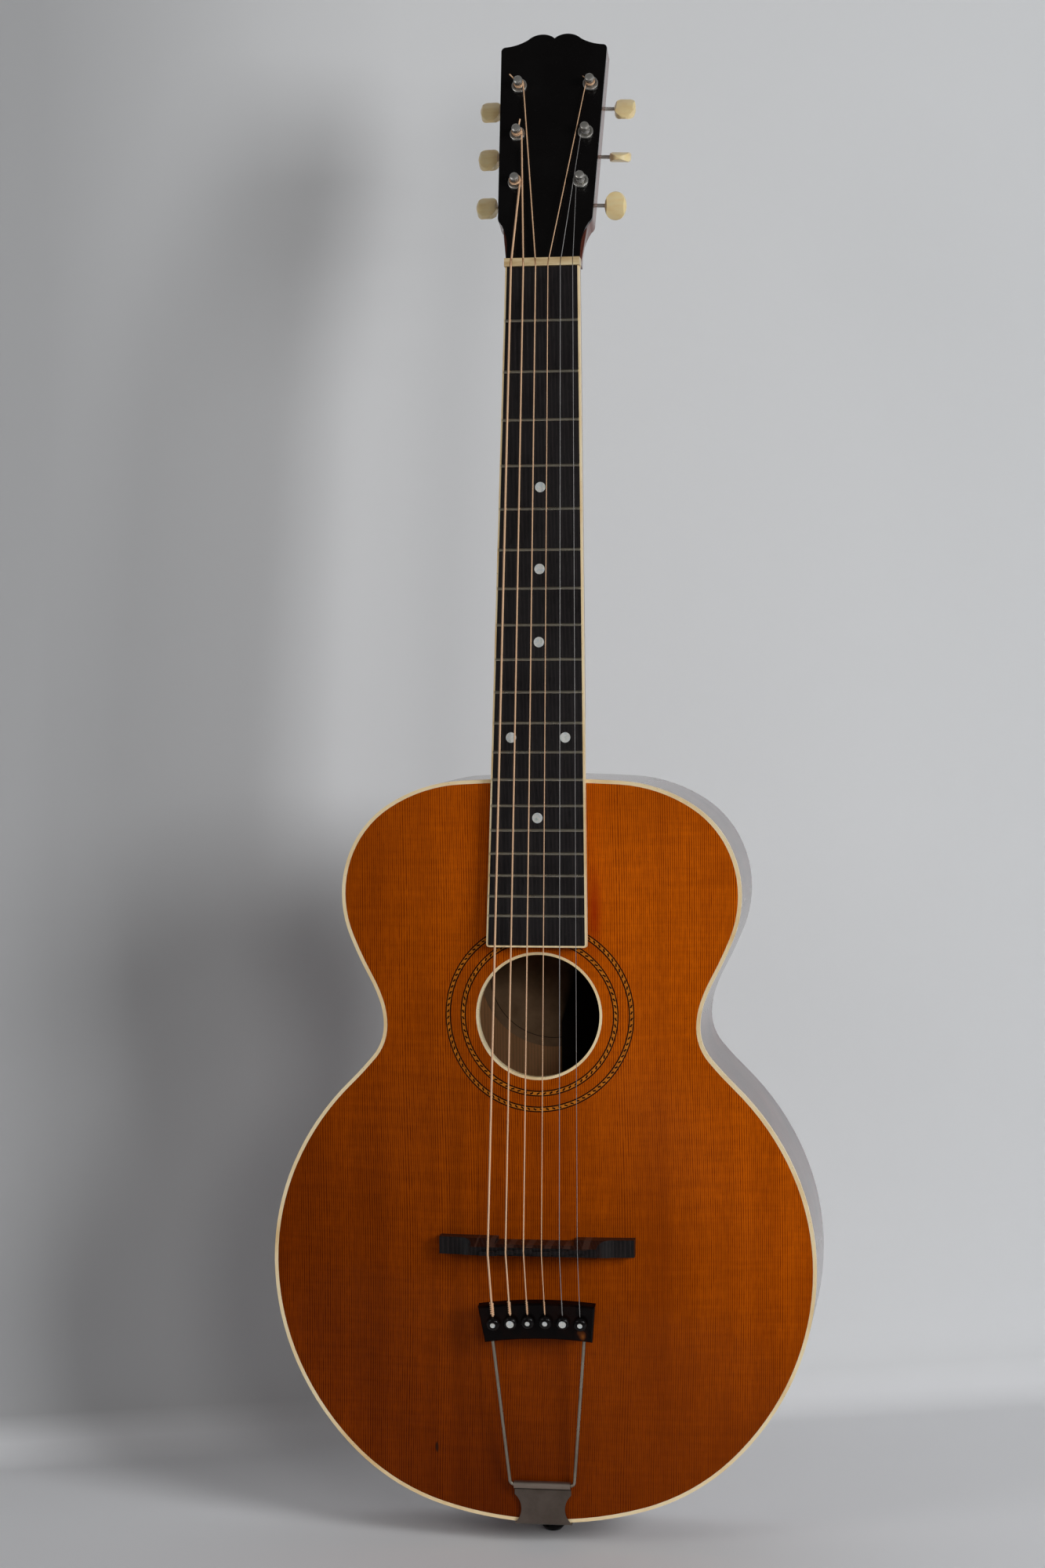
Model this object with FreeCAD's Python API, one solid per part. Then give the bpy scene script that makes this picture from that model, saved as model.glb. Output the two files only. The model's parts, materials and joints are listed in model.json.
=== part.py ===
import FreeCAD, Part
import os
from math import atan2, cos, degrees, exp, hypot, pi, radians, sin, sqrt, tan

# An arched-top acoustic guitar with a round soundhole, a floating bridge, a hinged wire tailpiece and
# six open-back worm tuners. Millimetres. +X is the treble side, +Z runs up the neck and -Y is the front.
# The origin is on the end pin's axis, where the pin's collar meets the foot of the body.

# Body outline, seen from the front: its three widths, the way up from the foot to each of them and on to
# the neck, and the depth of the rim
lower_bout_width = 349.2
waist_width = 203.0
upper_bout_width = 256.4
lower_bout_height = 166.0
waist_rise = 153.0
upper_bout_rise = 84.0
crown_rise = 73.8
rim_depth = 89.0

# Between two stations the outline passes one more point: how far across and up it lies, as shares of the
# way from the one to the other, and the outline's direction there in degrees
between_shares = [(0.693, 0.254, 43.8), (0.686, 0.759, 135.8), (0.348, 0.367, 61.4), (0.234, 0.770, 146.7)]

# Plates, rim and what holds them together
top_thickness = 5.0
back_thickness = 4.5
top_rise = 18.5
back_rise = 14.0
top_crest_rise = 16.0
top_crest_spread = 110.0
neck_end_rise_share = 0.48
side_fall_share = 0.35
rim_thickness = 2.4
binding_width = 2.3
lining_width = 6.0
lining_depth = 14.0
neck_block_width = 72.0
neck_block_length = 44.0
tail_block_width = 76.0
tail_block_length = 24.0
brace_width = 8.0
brace_depth = 13.0
brace_offset = 56.0
glue_gap = 0.05

# Soundhole and the rings round it
soundhole_drop = 150.0
soundhole_radius = 38.7
hole_ring_width = 1.7
rosette_outer_radii = [50.7, 60.6]
rosette_width = 3.6
inlay_depth = 1.2

# Neck, fingerboard and frets
scale_length = 622.3
neck_reach = 326.4
neck_lean = 5.95
board_thickness = 6.0
board_nut_width = 47.6
board_end_width = 63.9
board_length = 434.5
board_corner = 2.0
board_binding = 1.1
fret_count = 19
fret_width = 2.0
fret_crown = 0.95
fret_tang_width = 0.6
fret_tang_depth = 1.8
dot_frets = [5, 7, 9, 12, 15]
double_dot_fret = 12
double_dot_spacing = 34.6
dot_radius = 3.3
dot_thickness = 1.0
nut_thickness = 5.2
nut_overhang = 0.5
nut_rise = 2.3
neck_depth_nut = 15.5
neck_depth_heel = 19.0
heel_length = 62.0
heel_heights_shares = [1.00, 0.66, 0.40, 0.20, 0.04, -0.22]
heel_depths_shares = [0.00, 0.09, 0.27, 0.54, 0.90, 1.50]
shaft_profile_shares = [(0.93, 0.50), (0.62, 0.86)]
root_profile_shares = [(1.00, 0.55), (0.93, 0.94)]
heel_profile_shares = [(0.80, 0.40), (0.48, 0.80)]
tongue_thickness = 2.2
tenon_width = 18.0
tenon_flare = 3.0
tenon_length = 18.0
tenon_depth = 74.0

# Headstock
head_pitch = 16.0
head_setback = 3.0
head_thickness = 14.5
veneer_thickness = 2.0
head_length = 167.4
head_top_width = 70.0
shoulder_width = 61.6
shoulder_height = 31.5
head_side_height = 155.5
head_throat_height = 8.0
head_throat_shares = [(0.200, 0.434), (0.686, 0.779), (0.930, 0.877)]
head_corner = 3.0
notch_depth = 3.1
crest_half_width = 7.0
head_curl_shares = [(0.750, 0.200), (0.547, 0.573), (0.050, 0.800)]
root_height = 28.0

# Tuners: three worm machines a side on one plate, each with a worm, a gear, a post and a button
post_first_height = 56.4
post_spacing = 36.1
post_first_offset = 21.2
post_row_lean = 1.83
post_row_shift = 0.8
post_row_tilt = 0.85
post_radius = 2.9
post_waist_radius = 2.3
post_rise = 8.0
post_waist_low = 1.6
post_waist_high = 6.1
post_foot_radius = 2.1
running_gap = 0.05
side_gap = 0.15
ferrule_flange_radius = 4.95
ferrule_flange_rise = 1.2
ferrule_mouth_radius = 3.5
ferrule_barrel_radius = 3.9
ferrule_barrel_length = 8.0
plate_thickness = 1.2
plate_width = 17.0
plate_overhang = 17.0
plate_corner = 5.0
plate_screw_shares = (0.45, 1.45)
gear_teeth = 12
gear_module = 0.75
gear_face = 3.4
gear_tooth_share = 0.43
worm_thread_share = 0.40
tooth_slope = 20.0
addendum_share = 0.95
dedendum_share = 1.20
gear_hub_radius = 3.2
gear_screw_radius = 2.3
gear_screw_rise = 1.2
worm_pitch_radius = 2.35
worm_turns = 3
worm_steps_per_turn = 12
worm_axis_depth = 4.6
worm_half_length = 4.6
shaft_radius = 1.3
lug_thickness = 1.2
lug_width = 6.4
lug_margin = 1.8
plate_screw_radius = 2.6
plate_screw_rise = 1.1
plate_screw_shank = 1.3
plate_screw_depth = 9.0
screw_slot_width = 0.6
screw_slot_depth = 0.6
button_length = 14.0
button_width = 18.4
button_thickness = 6.4
button_edge = 1.6
button_tip_thickness = 3.4
button_end_radius = 2.0
button_oval_shares = (0.715, 0.717)
button_reach = 14.2
button_socket = 8.0
button_turns = {"bass": [18.0, 16.5, 19.5], "treble": [32.5, -57.5, -21.0]}

# Bridge
bridge_length = 124.0
bridge_thickness = 11.0
bridge_foot_setback = 5.0
bridge_wing_rise = 8.0
bridge_crest_width = 80.0
bridge_crest_thickness = 5.2
bridge_flank = 12.0
bridge_shoulder_drop = 12.0
bridge_relief_width = 50.0
bridge_relief_depth = 2.2
saddle_step_rise = 2.0
saddle_step_thickness = 2.6
saddle_steps = [-1.2, -0.3, 0.6, -0.7, 0.2, 1.1]
compensation = 2.0

# Tailpiece: a pinned block on a bent wire, hinged in a rolled bracket
hinge_height = 25.6
hinge_rise = 5.0
hinge_half_length = 18.2
hinge_radius = 2.7
hinge_seam = 0.25
tail_wire_radius = 1.1
tail_wire_half_foot = 20.6
tail_wire_half_top = 29.8
tail_wire_bend = 3.4
tail_wire_seat = 9.0
block_foot_reach = 103.5
block_height = 24.4
block_top_width = 74.2
block_foot_width = 68.2
block_shift = 1.5
block_turn = 1.3
block_bow = 2.5
block_thickness = 6.4
block_edge = 1.0
tail_pin_rise = 12.6
tail_pin_spacing = 11.05
tail_pin_radius = 2.5
tail_pin_head_radius = 4.2
tail_pin_head_rise = 3.0
tail_pin_head_gap = 0.9
tail_pin_length = 8.0
pin_eye_radii = [1.6, 2.4, 1.5, 1.6, 2.3, 1.6]
pin_eye_thickness = 0.6
bracket_thickness = 0.9
bracket_top_half_width = 18.2
bracket_waist_half_width = 14.6
bracket_waist_height = 13.2
bracket_foot_half_width = 18.4
bracket_front_rise = 1.1
bracket_bend = 1.6
bracket_leg_end = 62.0
bracket_leg_half_width = 12.0
bracket_screw_radius = 2.7
bracket_screw_rise = 1.0
bracket_screw_shank = 1.4
bracket_screw_length = 14.0

# End pin
end_pin_radius = 4.5
end_pin_collar_radius = 6.2
end_pin_collar = 2.2
end_pin_neck = 8.0
end_pin_head_radius = 7.3
end_pin_head = 5.4
end_pin_shank_radius = 4.0
end_pin_land = 3.0
end_pin_shank = 19.0

# Strings, from the bass side to the treble side
string_diameters = [1.35, 1.07, 0.81, 0.61, 0.43, 0.33]
string_turns = [1.5, 2.0, 2.25, 2.5, 2.75, 3.0]
string_spread_nut = 39.8
string_spread_bridge = 56.6
string_rise_nut = 1.9
string_rise_bridge = 5.6
string_sides = 6
winding_gap = 0.45
winding_low = 1.75
string_seat_gap = 0.06
string_slot_gap = 0.08
nut_bend = 9.0
bridge_bend = 6.0
anchor_bend = 1.5
anchor_depth = 3.2
post_lead = 6.0

overrun = 40.0
tiny = 0.001
outline_samples = 360
arch_columns = 17
arch_rows = 25
gap_samples = 9

V = FreeCAD.Vector
across = V(1, 0, 0)
front = V(0, 0, 1)
string_count = len(string_diameters)
pitch = pi * gear_module
gear_radius = gear_module * gear_teeth / 2
worm_offset = gear_radius + worm_pitch_radius
worm_root = worm_pitch_radius - dedendum_share * gear_module
worm_tip = worm_pitch_radius + addendum_share * gear_module
waist_height = lower_bout_height + waist_rise
upper_bout_height = waist_height + upper_bout_rise
body_length = upper_bout_height + crown_rise
top_crest_height = lower_bout_height + top_crest_rise
soundhole_height = body_length - soundhole_drop
nut_height = body_length + neck_reach
rim_floor = -rim_depth + back_thickness + glue_gap
rim_roof = -top_thickness - glue_gap
board_rise_at_body = board_thickness / cos(radians(neck_lean)) + glue_gap
nut_setback = neck_reach * tan(radians(neck_lean)) - board_rise_at_body
string_radii = [diameter / 2 for diameter in string_diameters]


def upright(setback, height, lean):
    """A frame whose y runs up, leaning back by lean degrees, and whose z points to the front."""
    return FreeCAD.Placement(V(0, setback, height), FreeCAD.Rotation(across, 90 - lean))


# Local frames. In each of them x runs to the treble side, y up the instrument and z out of the front.
body_frame = upright(-rim_depth / 2, 0, 0)
board_frame = upright(nut_setback - rim_depth / 2, nut_height, neck_lean)
head_frame = board_frame.multiply(FreeCAD.Placement(
    V(0, nut_thickness, -head_setback), FreeCAD.Rotation(across, -head_pitch)))


def board_rise(height):
    """How far the fingerboard's surface stands in front of the rim at a height of the body."""
    return (nut_height - height) * tan(radians(neck_lean)) - nut_setback


bridge_height = nut_height - scale_length * cos(radians(neck_lean)) - compensation
string_rise = board_rise(bridge_height) + string_rise_bridge / cos(radians(neck_lean))
tail_lean = degrees(atan2(string_rise - hinge_rise, bridge_height - hinge_height))
tail_frame = body_frame.multiply(FreeCAD.Placement(
    V(0, hinge_height, hinge_rise), FreeCAD.Rotation(across, tail_lean)))


# The tailpiece block sits a little askew on its wire
block_centre = V(0, block_foot_reach + block_height / 2, 0)
block_place = FreeCAD.Placement(V(block_shift, 0, 0), FreeCAD.Rotation(front, block_turn), block_centre)
block_frame = tail_frame.multiply(block_place)


def placed(shape, frame):
    moved = shape.copy()
    moved.Placement = frame.multiply(shape.Placement)
    return moved


def save(name, shape):
    shape.exportStep("parts/" + name + ".step")
    print(name, len(shape.Solids), round(shape.Volume, 2), shape.isValid())


def group(shapes):
    return Part.makeCompound(shapes)


def box(x0, x1, y0, y1, z0, z1):
    return Part.makeBox(x1 - x0, y1 - y0, z1 - z0, V(x0, y0, z0))


def rod(radius, base, tip):
    return Part.makeCylinder(radius, (tip - base).Length, base, tip - base)


def extruded(edges, z0, z1):
    face = Part.Face(Part.Wire(Part.__sortEdges__(edges)))
    face.translate(V(0, 0, z0))
    return face.extrude(V(0, 0, z1 - z0))


def lines(points):
    return [Part.LineSegment(a, b).toShape() for a, b in zip(points, points[1:])]


def arc(a, b, c):
    return Part.Arc(a, b, c).toShape()


def turned(profile, base, axis):
    """Turn a closed profile of (radius, distance along the axis) points into a solid of revolution."""
    face = Part.Face(Part.makePolygon([V(r, 0, z) for r, z in profile + profile[:1]]))
    solid = face.revolve(V(0, 0, 0), front, 360)
    return placed(solid, FreeCAD.Placement(base, FreeCAD.Rotation(front, axis)))


def facets(rings):
    """A solid of flat triangles between rings that have as many points each, with flat ends."""
    faces = []
    for low, high in zip(rings, rings[1:]):
        for here, there in zip(range(-1, len(low) - 1), range(len(low))):
            faces.append(lines_face([low[here], low[there], high[there]]))
            faces.append(lines_face([low[here], high[there], high[here]]))
    return Part.Solid(Part.Shell(faces + [lines_face(rings[0]), lines_face(rings[-1])]))


def lines_face(points):
    return Part.Face(Part.makePolygon(points + points[:1]))


def arc_stations(start, along, end):
    """An arc that leaves start along a unit vector and ends at end: three points, each with its direction."""
    chord = end - start
    way = (end - start).normalize()
    half = (along + way).normalize()
    middle = start + half * (chord.Length / 2 / half.dot(way))
    return [(start, along), (middle, way), (end, way * (2 * way.dot(along)) - along)]


def biarc_stations(start, along, end, along_end):
    """Two arcs that join start to end and have the given unit directions there."""
    chord, both = end - start, along + along_end
    a, b, c = 2 * (1 - along.dot(along_end)), 2 * chord.dot(both), -chord.dot(chord)
    reach = -c / b if abs(a) < tiny * tiny else (-b + sqrt(b * b - 4 * a * c)) / (2 * a)
    joint = (start + end + (along - along_end) * reach) * 0.5
    first = arc_stations(start, along, joint)
    return [first, arc_stations(joint, first[-1][1], end)]


def outline_stations():
    """Points of the right half of the body's outline, from foot to crown, each with its direction."""
    low, waist, high = lower_bout_width / 2, waist_width / 2, upper_bout_width / 2
    main = [(0, 0, 0), (low, lower_bout_height, 90), (waist, waist_height, 90),
            (high, upper_bout_height, 90), (0, body_length, 180)]
    places = main[:1]
    for (x0, y0, _), after, (x, y, way) in zip(main, main[1:], between_shares):
        places += [(x0 + (after[0] - x0) * x, y0 + (after[1] - y0) * y, way), after]
    return [(V(x, y, 0), V(cos(radians(way)), sin(radians(way)), 0)) for x, y, way in places]


def outline_arcs():
    right = []
    stations = outline_stations()
    for (start, along), (end, along_end) in zip(stations, stations[1:]):
        right += biarc_stations(start, along, end, along_end)
    left = [[(V(-p.x, p.y, 0), V(way.x, -way.y, 0)) for p, way in reversed(three)]
            for three in reversed(right)]
    return right + left


body_arcs = outline_arcs()


def inset_outline(inset):
    """The arcs of the body's outline, moved inward by an equal distance all round."""
    return [arc(*[point + V(-way.y, way.x, 0) * inset for point, way in three]) for three in body_arcs]


outline = Part.Wire(inset_outline(0))
outline_ring = outline.discretize(Number=outline_samples + 1)[:-1]


def body_prism(inset, z0, z1):
    return extruded(inset_outline(inset), z0, z1)


def body_hoop(outer_inset, inner_inset, z0, z1):
    return body_prism(outer_inset, z0, z1).cut(body_prism(inner_inset, z0, z1))


def mean_reach(x, y):
    """A smooth mean of the distances from a point to the outline."""
    step = outline.Length / outline_samples
    pull = sum(step / (hypot(x - q.x, y - q.y) + tiny) ** 3 for q in outline_ring)
    return sqrt(2 / pull)


fullest_reach = mean_reach(0, lower_bout_height)


def arch_rise(x, y, rise, end_share):
    """The height of an arched plate: flat at its edge, and highest in the lower bout."""
    reach = min(mean_reach(x, y) / fullest_reach, 1)
    swell = reach ** 2 * (3 - 2 * reach)
    along = exp(-((y - top_crest_height) / top_crest_spread) ** 2)
    fall = 1 - side_fall_share * (2 * x / lower_bout_width) ** 2
    return rise * swell * (end_share + (1 - end_share) * along) * fall


def arched_face(rise, end_share, side):
    half = lower_bout_width / 2 + binding_width
    columns = [half * (2 * i / (arch_columns - 1) - 1) for i in range(arch_columns)]
    low, high = -binding_width, body_length + binding_width
    rows = [low + (high - low) * j / (arch_rows - 1) for j in range(arch_rows)]
    grid = [[V(x, y, side * arch_rise(x, y, rise, end_share)) for y in rows] for x in columns]
    surface = Part.BSplineSurface()
    surface.interpolate(grid)
    return surface.toShape()


top_face = arched_face(top_rise, neck_end_rise_share, 1)
back_face = arched_face(back_rise, 1, -1)


def top_layer(depth):
    """The outer layer of the top, before its outline is cut."""
    return top_face.extrude(V(0, 0, -depth))


def disc(radius, z0=-overrun, z1=overrun):
    return Part.makeCylinder(radius, z1 - z0, V(0, soundhole_height, z0))


def rosette_tool():
    rings = [disc(radius).cut(disc(radius - rosette_width)) for radius in rosette_outer_radii]
    return group(rings)


def soundboard():
    plate = top_layer(top_thickness).common(body_prism(binding_width, -overrun, overrun))
    plate = plate.cut(disc(soundhole_radius + hole_ring_width))
    for ring in rosette_rings().Solids:
        plate = plate.cut(ring)
    return plate


def rosette_rings():
    layer = top_layer(inlay_depth)
    return group([layer.common(ring) for ring in rosette_tool().Solids])


def soundhole_binding():
    ring = disc(soundhole_radius + hole_ring_width).cut(disc(soundhole_radius))
    return ring.common(top_layer(top_thickness))


def back_plate():
    layer = back_face.extrude(V(0, 0, back_thickness))
    layer.translate(V(0, 0, -rim_depth))
    return layer.common(body_prism(0, -rim_depth - overrun, 0))


def top_binding():
    return body_hoop(0, binding_width, -top_thickness, 0)


def half_space(side):
    reach = lower_bout_width
    x0, x1 = (0, reach) if side > 0 else (-reach, 0)
    return box(x0, x1, -overrun, body_length + overrun, -rim_depth - overrun, overrun)


def tenon(gap=0):
    """The dovetail that holds the neck's heel in the neck block, wider at its tip."""
    wide, narrow = tenon_width / 2 + tenon_flare + gap, tenon_width / 2 + gap
    tip, mouth = body_length - tenon_length - gap, body_length + tiny
    points = [V(-narrow, mouth, 0), V(-wide, tip, 0), V(wide, tip, 0), V(narrow, mouth, 0)]
    return extruded(lines(points + points[:1]), -tenon_depth - gap, rim_roof)


def ribs():
    hoop = body_hoop(0, rim_thickness, rim_floor, rim_roof)
    hoop = hoop.cut([tenon(glue_gap), end_pin_hole(glue_gap), bracket_screw_holes()])
    return [hoop.common(half_space(side)) for side in (-1, 1)]


def blocks():
    """The neck block and the tail block, which fill the rim's two ends."""
    room = body_prism(rim_thickness, rim_floor, rim_roof)
    half_neck, half_tail = neck_block_width / 2, tail_block_width / 2
    inner = body_length - rim_thickness
    neck = box(-half_neck, half_neck, inner - neck_block_length, inner, -rim_depth, 0)
    tail = box(-half_tail, half_tail, 0, rim_thickness + tail_block_length, -rim_depth, 0)
    neck_block = neck.common(room).cut(tenon(glue_gap))
    return neck_block, tail.common(room).cut(end_pin_hole(glue_gap)).cut(bracket_screw_holes())


def linings():
    strips = []
    for z1 in (rim_roof, rim_floor + lining_depth):
        strips.append(body_hoop(rim_thickness, rim_thickness + lining_width, z1 - lining_depth, z1))
    half = max(neck_block_width, tail_block_width) / 2
    gap = box(-half, half, -overrun, body_length + overrun, -rim_depth, 0)
    return group([part for strip in strips for part in strip.cut(gap).Solids])


def top_braces():
    """Two bars across the inside of the top, above and below the soundhole."""
    room = body_prism(rim_thickness + lining_width + glue_gap, -overrun, overrun)
    under = top_layer(overrun)
    under.translate(V(0, 0, -top_thickness))
    bars = []
    for height in (soundhole_height - brace_offset, soundhole_height + brace_offset):
        low, high = height - brace_width / 2, height + brace_width / 2
        bar = box(-lower_bout_width, lower_bout_width, low, high, -top_thickness - brace_depth, overrun)
        bars.append(bar.common(room).common(under))
    return group(bars)


def board_half_width(reach):
    """Half the fingerboard's width at a distance from the nut."""
    return (board_nut_width + (board_end_width - board_nut_width) * reach / board_length) / 2


def board_plan(inset, end_inset, z0, z1):
    """A slab with the fingerboard's taper and its two small round corners."""
    top, foot = board_half_width(0) - inset, board_half_width(board_length) - inset
    end, turn = end_inset - board_length, board_corner - end_inset
    chord = turn * (1 - sqrt(2) / 2)
    edges = lines([V(-foot, end + turn, 0), V(-top, 0, 0), V(top, 0, 0), V(foot, end + turn, 0)])
    edges.append(arc(V(foot, end + turn, 0), V(foot - chord, end + chord, 0), V(foot - turn, end, 0)))
    edges += lines([V(foot - turn, end, 0), V(turn - foot, end, 0)])
    edges.append(arc(V(turn - foot, end, 0), V(chord - foot, end + chord, 0), V(-foot, end + turn, 0)))
    return extruded(edges, z0, z1)


def fret_reach(number):
    return scale_length * (1 - 2 ** (-number / 12))


def dot_places():
    places = []
    for number in dot_frets:
        y = -(fret_reach(number - 1) + fret_reach(number)) / 2
        offsets = [-double_dot_spacing / 2, double_dot_spacing / 2] if number == double_dot_fret else [0]
        places += [V(x, y, 0) for x in offsets]
    return places


def fingerboard():
    board = board_plan(board_binding, board_binding, -board_thickness, 0)
    slots = []
    for number in range(1, fret_count + 1):
        y, half = -fret_reach(number), fret_tang_width / 2
        width = board_half_width(fret_reach(number)) - board_binding
        slots.append(box(-width, width, y - half, y + half, -fret_tang_depth, overrun))
    dots = [rod(dot_radius, place - front * dot_thickness, place + front) for place in dot_places()]
    return board.cut(slots + dots)


def fingerboard_binding():
    outer = board_plan(0, 0, -board_thickness, 0)
    return outer.cut(board_plan(board_binding, board_binding, -board_thickness, 0))


def position_dots():
    return group([rod(dot_radius, place - front * dot_thickness, place) for place in dot_places()])


def frets():
    """Each fret is a low crown on the board and a tang in its slot."""
    wires = []
    half, tang = fret_width / 2, fret_tang_width / 2
    for number in range(1, fret_count + 1):
        y, width = -fret_reach(number), board_half_width(fret_reach(number)) - board_binding
        start = V(-width, y, 0)
        points = [V(0, half, 0), V(0, tang, 0), V(0, tang, -fret_tang_depth),
                  V(0, -tang, -fret_tang_depth), V(0, -tang, 0), V(0, -half, 0)]
        edges = lines([start + p for p in points])
        edges.append(arc(start - V(0, half, 0), start + front * fret_crown, start + V(0, half, 0)))
        wires.append(Part.Face(Part.Wire(edges)).extrude(V(2 * width, 0, 0)))
    return group(wires)


def string_offset(index, spread):
    return spread * (index / (string_count - 1) - 0.5)


def nut():
    half = board_nut_width / 2 + nut_overhang
    block = box(-half, half, 0, nut_thickness, -board_thickness, nut_rise)
    cuts = []
    for index in range(string_count):
        crown = nut_point(index)
        for end in (bridge_point(index), post_contact(index)):
            cuts.append(string_slot(index, crown, end))
    inverse = board_frame.inverse()
    return block.cut([placed(cut, inverse) for cut in cuts])


def string_slot(index, crown, end):
    """A slot along a string, open toward the front, from a bend of the string toward one end."""
    half = string_radii[index] + string_slot_gap
    along = (end - crown).normalize()
    out = board_frame.Rotation.multVec(front)
    side = along.cross(out).normalize()
    out = side.cross(along)
    start = crown - along * half - side * half - out * half
    corners = [start, start + side * 2 * half, start + side * 2 * half + out * nut_thickness,
               start + out * nut_thickness, start]
    return Part.Face(Part.makePolygon(corners)).extrude(along * nut_thickness * 2)


def profile(half, depth, shares, top=0):
    """A closed D-shaped section of the neck in the XZ plane: flat toward the board, round behind."""
    right = [V(half, 0, top)] + [V(half * x, 0, top - depth * z) for x, z in shares]
    left = [V(-p.x, 0, p.z) for p in right]
    edges = [arc(*right), arc(right[2], V(0, 0, top - depth), left[2]), arc(left[2], left[1], left[0])]
    return Part.Wire(edges + lines([left[0], right[0]]))


def board_section(reach, depth, shares):
    section = profile(board_half_width(reach), depth, shares, -board_thickness)
    section.translate(V(0, -reach, 0))
    return section


def head_outline():
    """The headstock's outline, from the nut up to the two curls and the notch between them."""
    half_nut, half_shoulder, half_top = board_nut_width / 2, shoulder_width / 2, head_top_width / 2
    width, height = half_shoulder - half_nut, shoulder_height - head_throat_height
    throat = V(half_nut, head_throat_height, 0)
    sweep = [V(half_nut + width * x, head_throat_height + height * y, 0) for x, y in head_throat_shares]
    shoulder = V(half_shoulder, shoulder_height, 0)
    side = V(half_top, head_side_height, 0)
    slope = head_corner * (1 - sqrt(2) / 2)
    corner = V(half_top - slope, side.y + head_corner - slope, 0)
    top = V(half_top - head_corner, side.y + head_corner, 0)
    rise = head_length - top.y
    curl = [V(top.x * x, top.y + rise * y, 0) for x, y in head_curl_shares]
    crest = V(crest_half_width, head_length, 0)
    notch = V(0, head_length - notch_depth, 0)
    edges = lines([V(half_nut, 0, 0), throat]) + [arc(throat, sweep[0], sweep[1])]
    edges += [arc(sweep[1], sweep[2], shoulder)] + lines([shoulder, side])
    edges += [arc(side, corner, top), arc(top, curl[0], curl[1]), arc(curl[1], crest, curl[2])]
    edges += lines([curl[2], notch])
    mirrored = [edge.mirror(V(0, 0, 0), across) for edge in reversed(edges)]
    return edges + mirrored + lines([V(-half_nut, 0, 0), V(half_nut, 0, 0)])


def post_places():
    """For each side, the tuners' frames: z along the post, x out along the worm shaft to the button."""
    sides = {}
    for side, turn in (("bass", -1), ("treble", 1)):
        sides[side] = []
        for index in range(3):
            rise = index * post_spacing
            lean = turn * post_row_lean + post_row_tilt
            x = post_row_shift + turn * post_first_offset + rise * sin(radians(lean))
            y = post_first_height + rise * cos(radians(lean))
            angle = -lean if turn > 0 else 180 - lean
            local = FreeCAD.Placement(V(x, y, -head_thickness), FreeCAD.Rotation(front, angle))
            sides[side].append(head_frame.multiply(local))
    return sides


tuner_frames = post_places()
worm_side = {"bass": 1, "treble": -1}


def string_post(index):
    """The side and the place on it of the post that a string goes to."""
    if index < 3:
        return "bass", index
    return "treble", string_count - 1 - index


def head_drillings(radius):
    holes = []
    for side in tuner_frames:
        for frame in tuner_frames[side]:
            holes.append(placed(rod(radius, V(0, 0, -overrun), V(0, 0, overrun)), frame))
    return holes


def headstock_veneer():
    slab = placed(extruded(head_outline(), -veneer_thickness, 0), head_frame)
    return slab.cut([nut_room()] + head_drillings(ferrule_barrel_radius))


def nut_room():
    """The space that the nut and the fingerboard take from the headstock's foot."""
    half = head_top_width
    return placed(box(-half, half, -overrun, nut_thickness, -board_thickness, overrun), board_frame)


def neck():
    body_height = body_length / cos(radians(neck_lean))
    joint_reach = nut_height / cos(radians(neck_lean)) - body_height
    full_depth = rim_depth - neck_depth_heel
    sections = []
    for up, down in zip(heel_heights_shares, heel_depths_shares):
        reach = joint_reach - heel_length * up
        shares = [(a + (c - a) * min(down * 2, 1), b + (d - b) * min(down * 2, 1))
                  for (a, b), (c, d) in zip(shaft_profile_shares, heel_profile_shares)]
        sections.append(board_section(reach, neck_depth_heel + full_depth * down, shares))
    heel = placed(Part.makeLoft(sections, True, True), board_frame)
    shaft = placed(Part.makeLoft([board_section(0, neck_depth_nut, shaft_profile_shares), sections[0]],
                                 True, True), board_frame)
    root_section = profile(shoulder_width / 2 - head_corner, head_thickness - veneer_thickness,
                           root_profile_shares, -veneer_thickness)
    root_section.translate(V(0, root_height, 0))
    nut_section = placed(board_section(0, neck_depth_nut, shaft_profile_shares), board_frame)
    root = Part.makeLoft([placed(root_section, head_frame), nut_section], True, True)
    head = placed(extruded(head_outline(), -head_thickness, -veneer_thickness), head_frame)
    tongue = board_plan(0, board_binding, -board_thickness - tongue_thickness, -board_thickness)
    tongue = placed(tongue, board_frame).common(placed(body_prism(0, tiny, overrun), body_frame))
    tongue = tongue.cut(placed(top_layer(overrun), body_frame))
    heel = heel.cut(placed(body_prism(0, -rim_depth - overrun, tiny), body_frame))
    heel = heel.cut(placed(soundboard(), body_frame))
    back = placed(box(-overrun, overrun, 0, body_length + overrun, -rim_depth - 2 * overrun,
                      -rim_depth), body_frame)
    root = root.fuse(head).cut(nut_room())
    whole = shaft.fuse([heel.cut(back), root, tongue, placed(tenon(), body_frame)])
    return whole.cut(head_drillings(ferrule_barrel_radius) + plate_screw_holes()).removeSplitter()


def ferrule():
    """A flanged bush that lines the post's hole at the headstock's face."""
    bore, mouth, face = post_radius + running_gap, ferrule_mouth_radius, head_thickness
    points = [(bore, face - ferrule_barrel_length), (ferrule_barrel_radius, face - ferrule_barrel_length),
              (ferrule_barrel_radius, face), (ferrule_flange_radius, face),
              (ferrule_flange_radius, face + ferrule_flange_rise),
              (mouth, face + ferrule_flange_rise), (mouth, face), (bore, face)]
    return turned(points, V(0, 0, 0), front)


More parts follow.
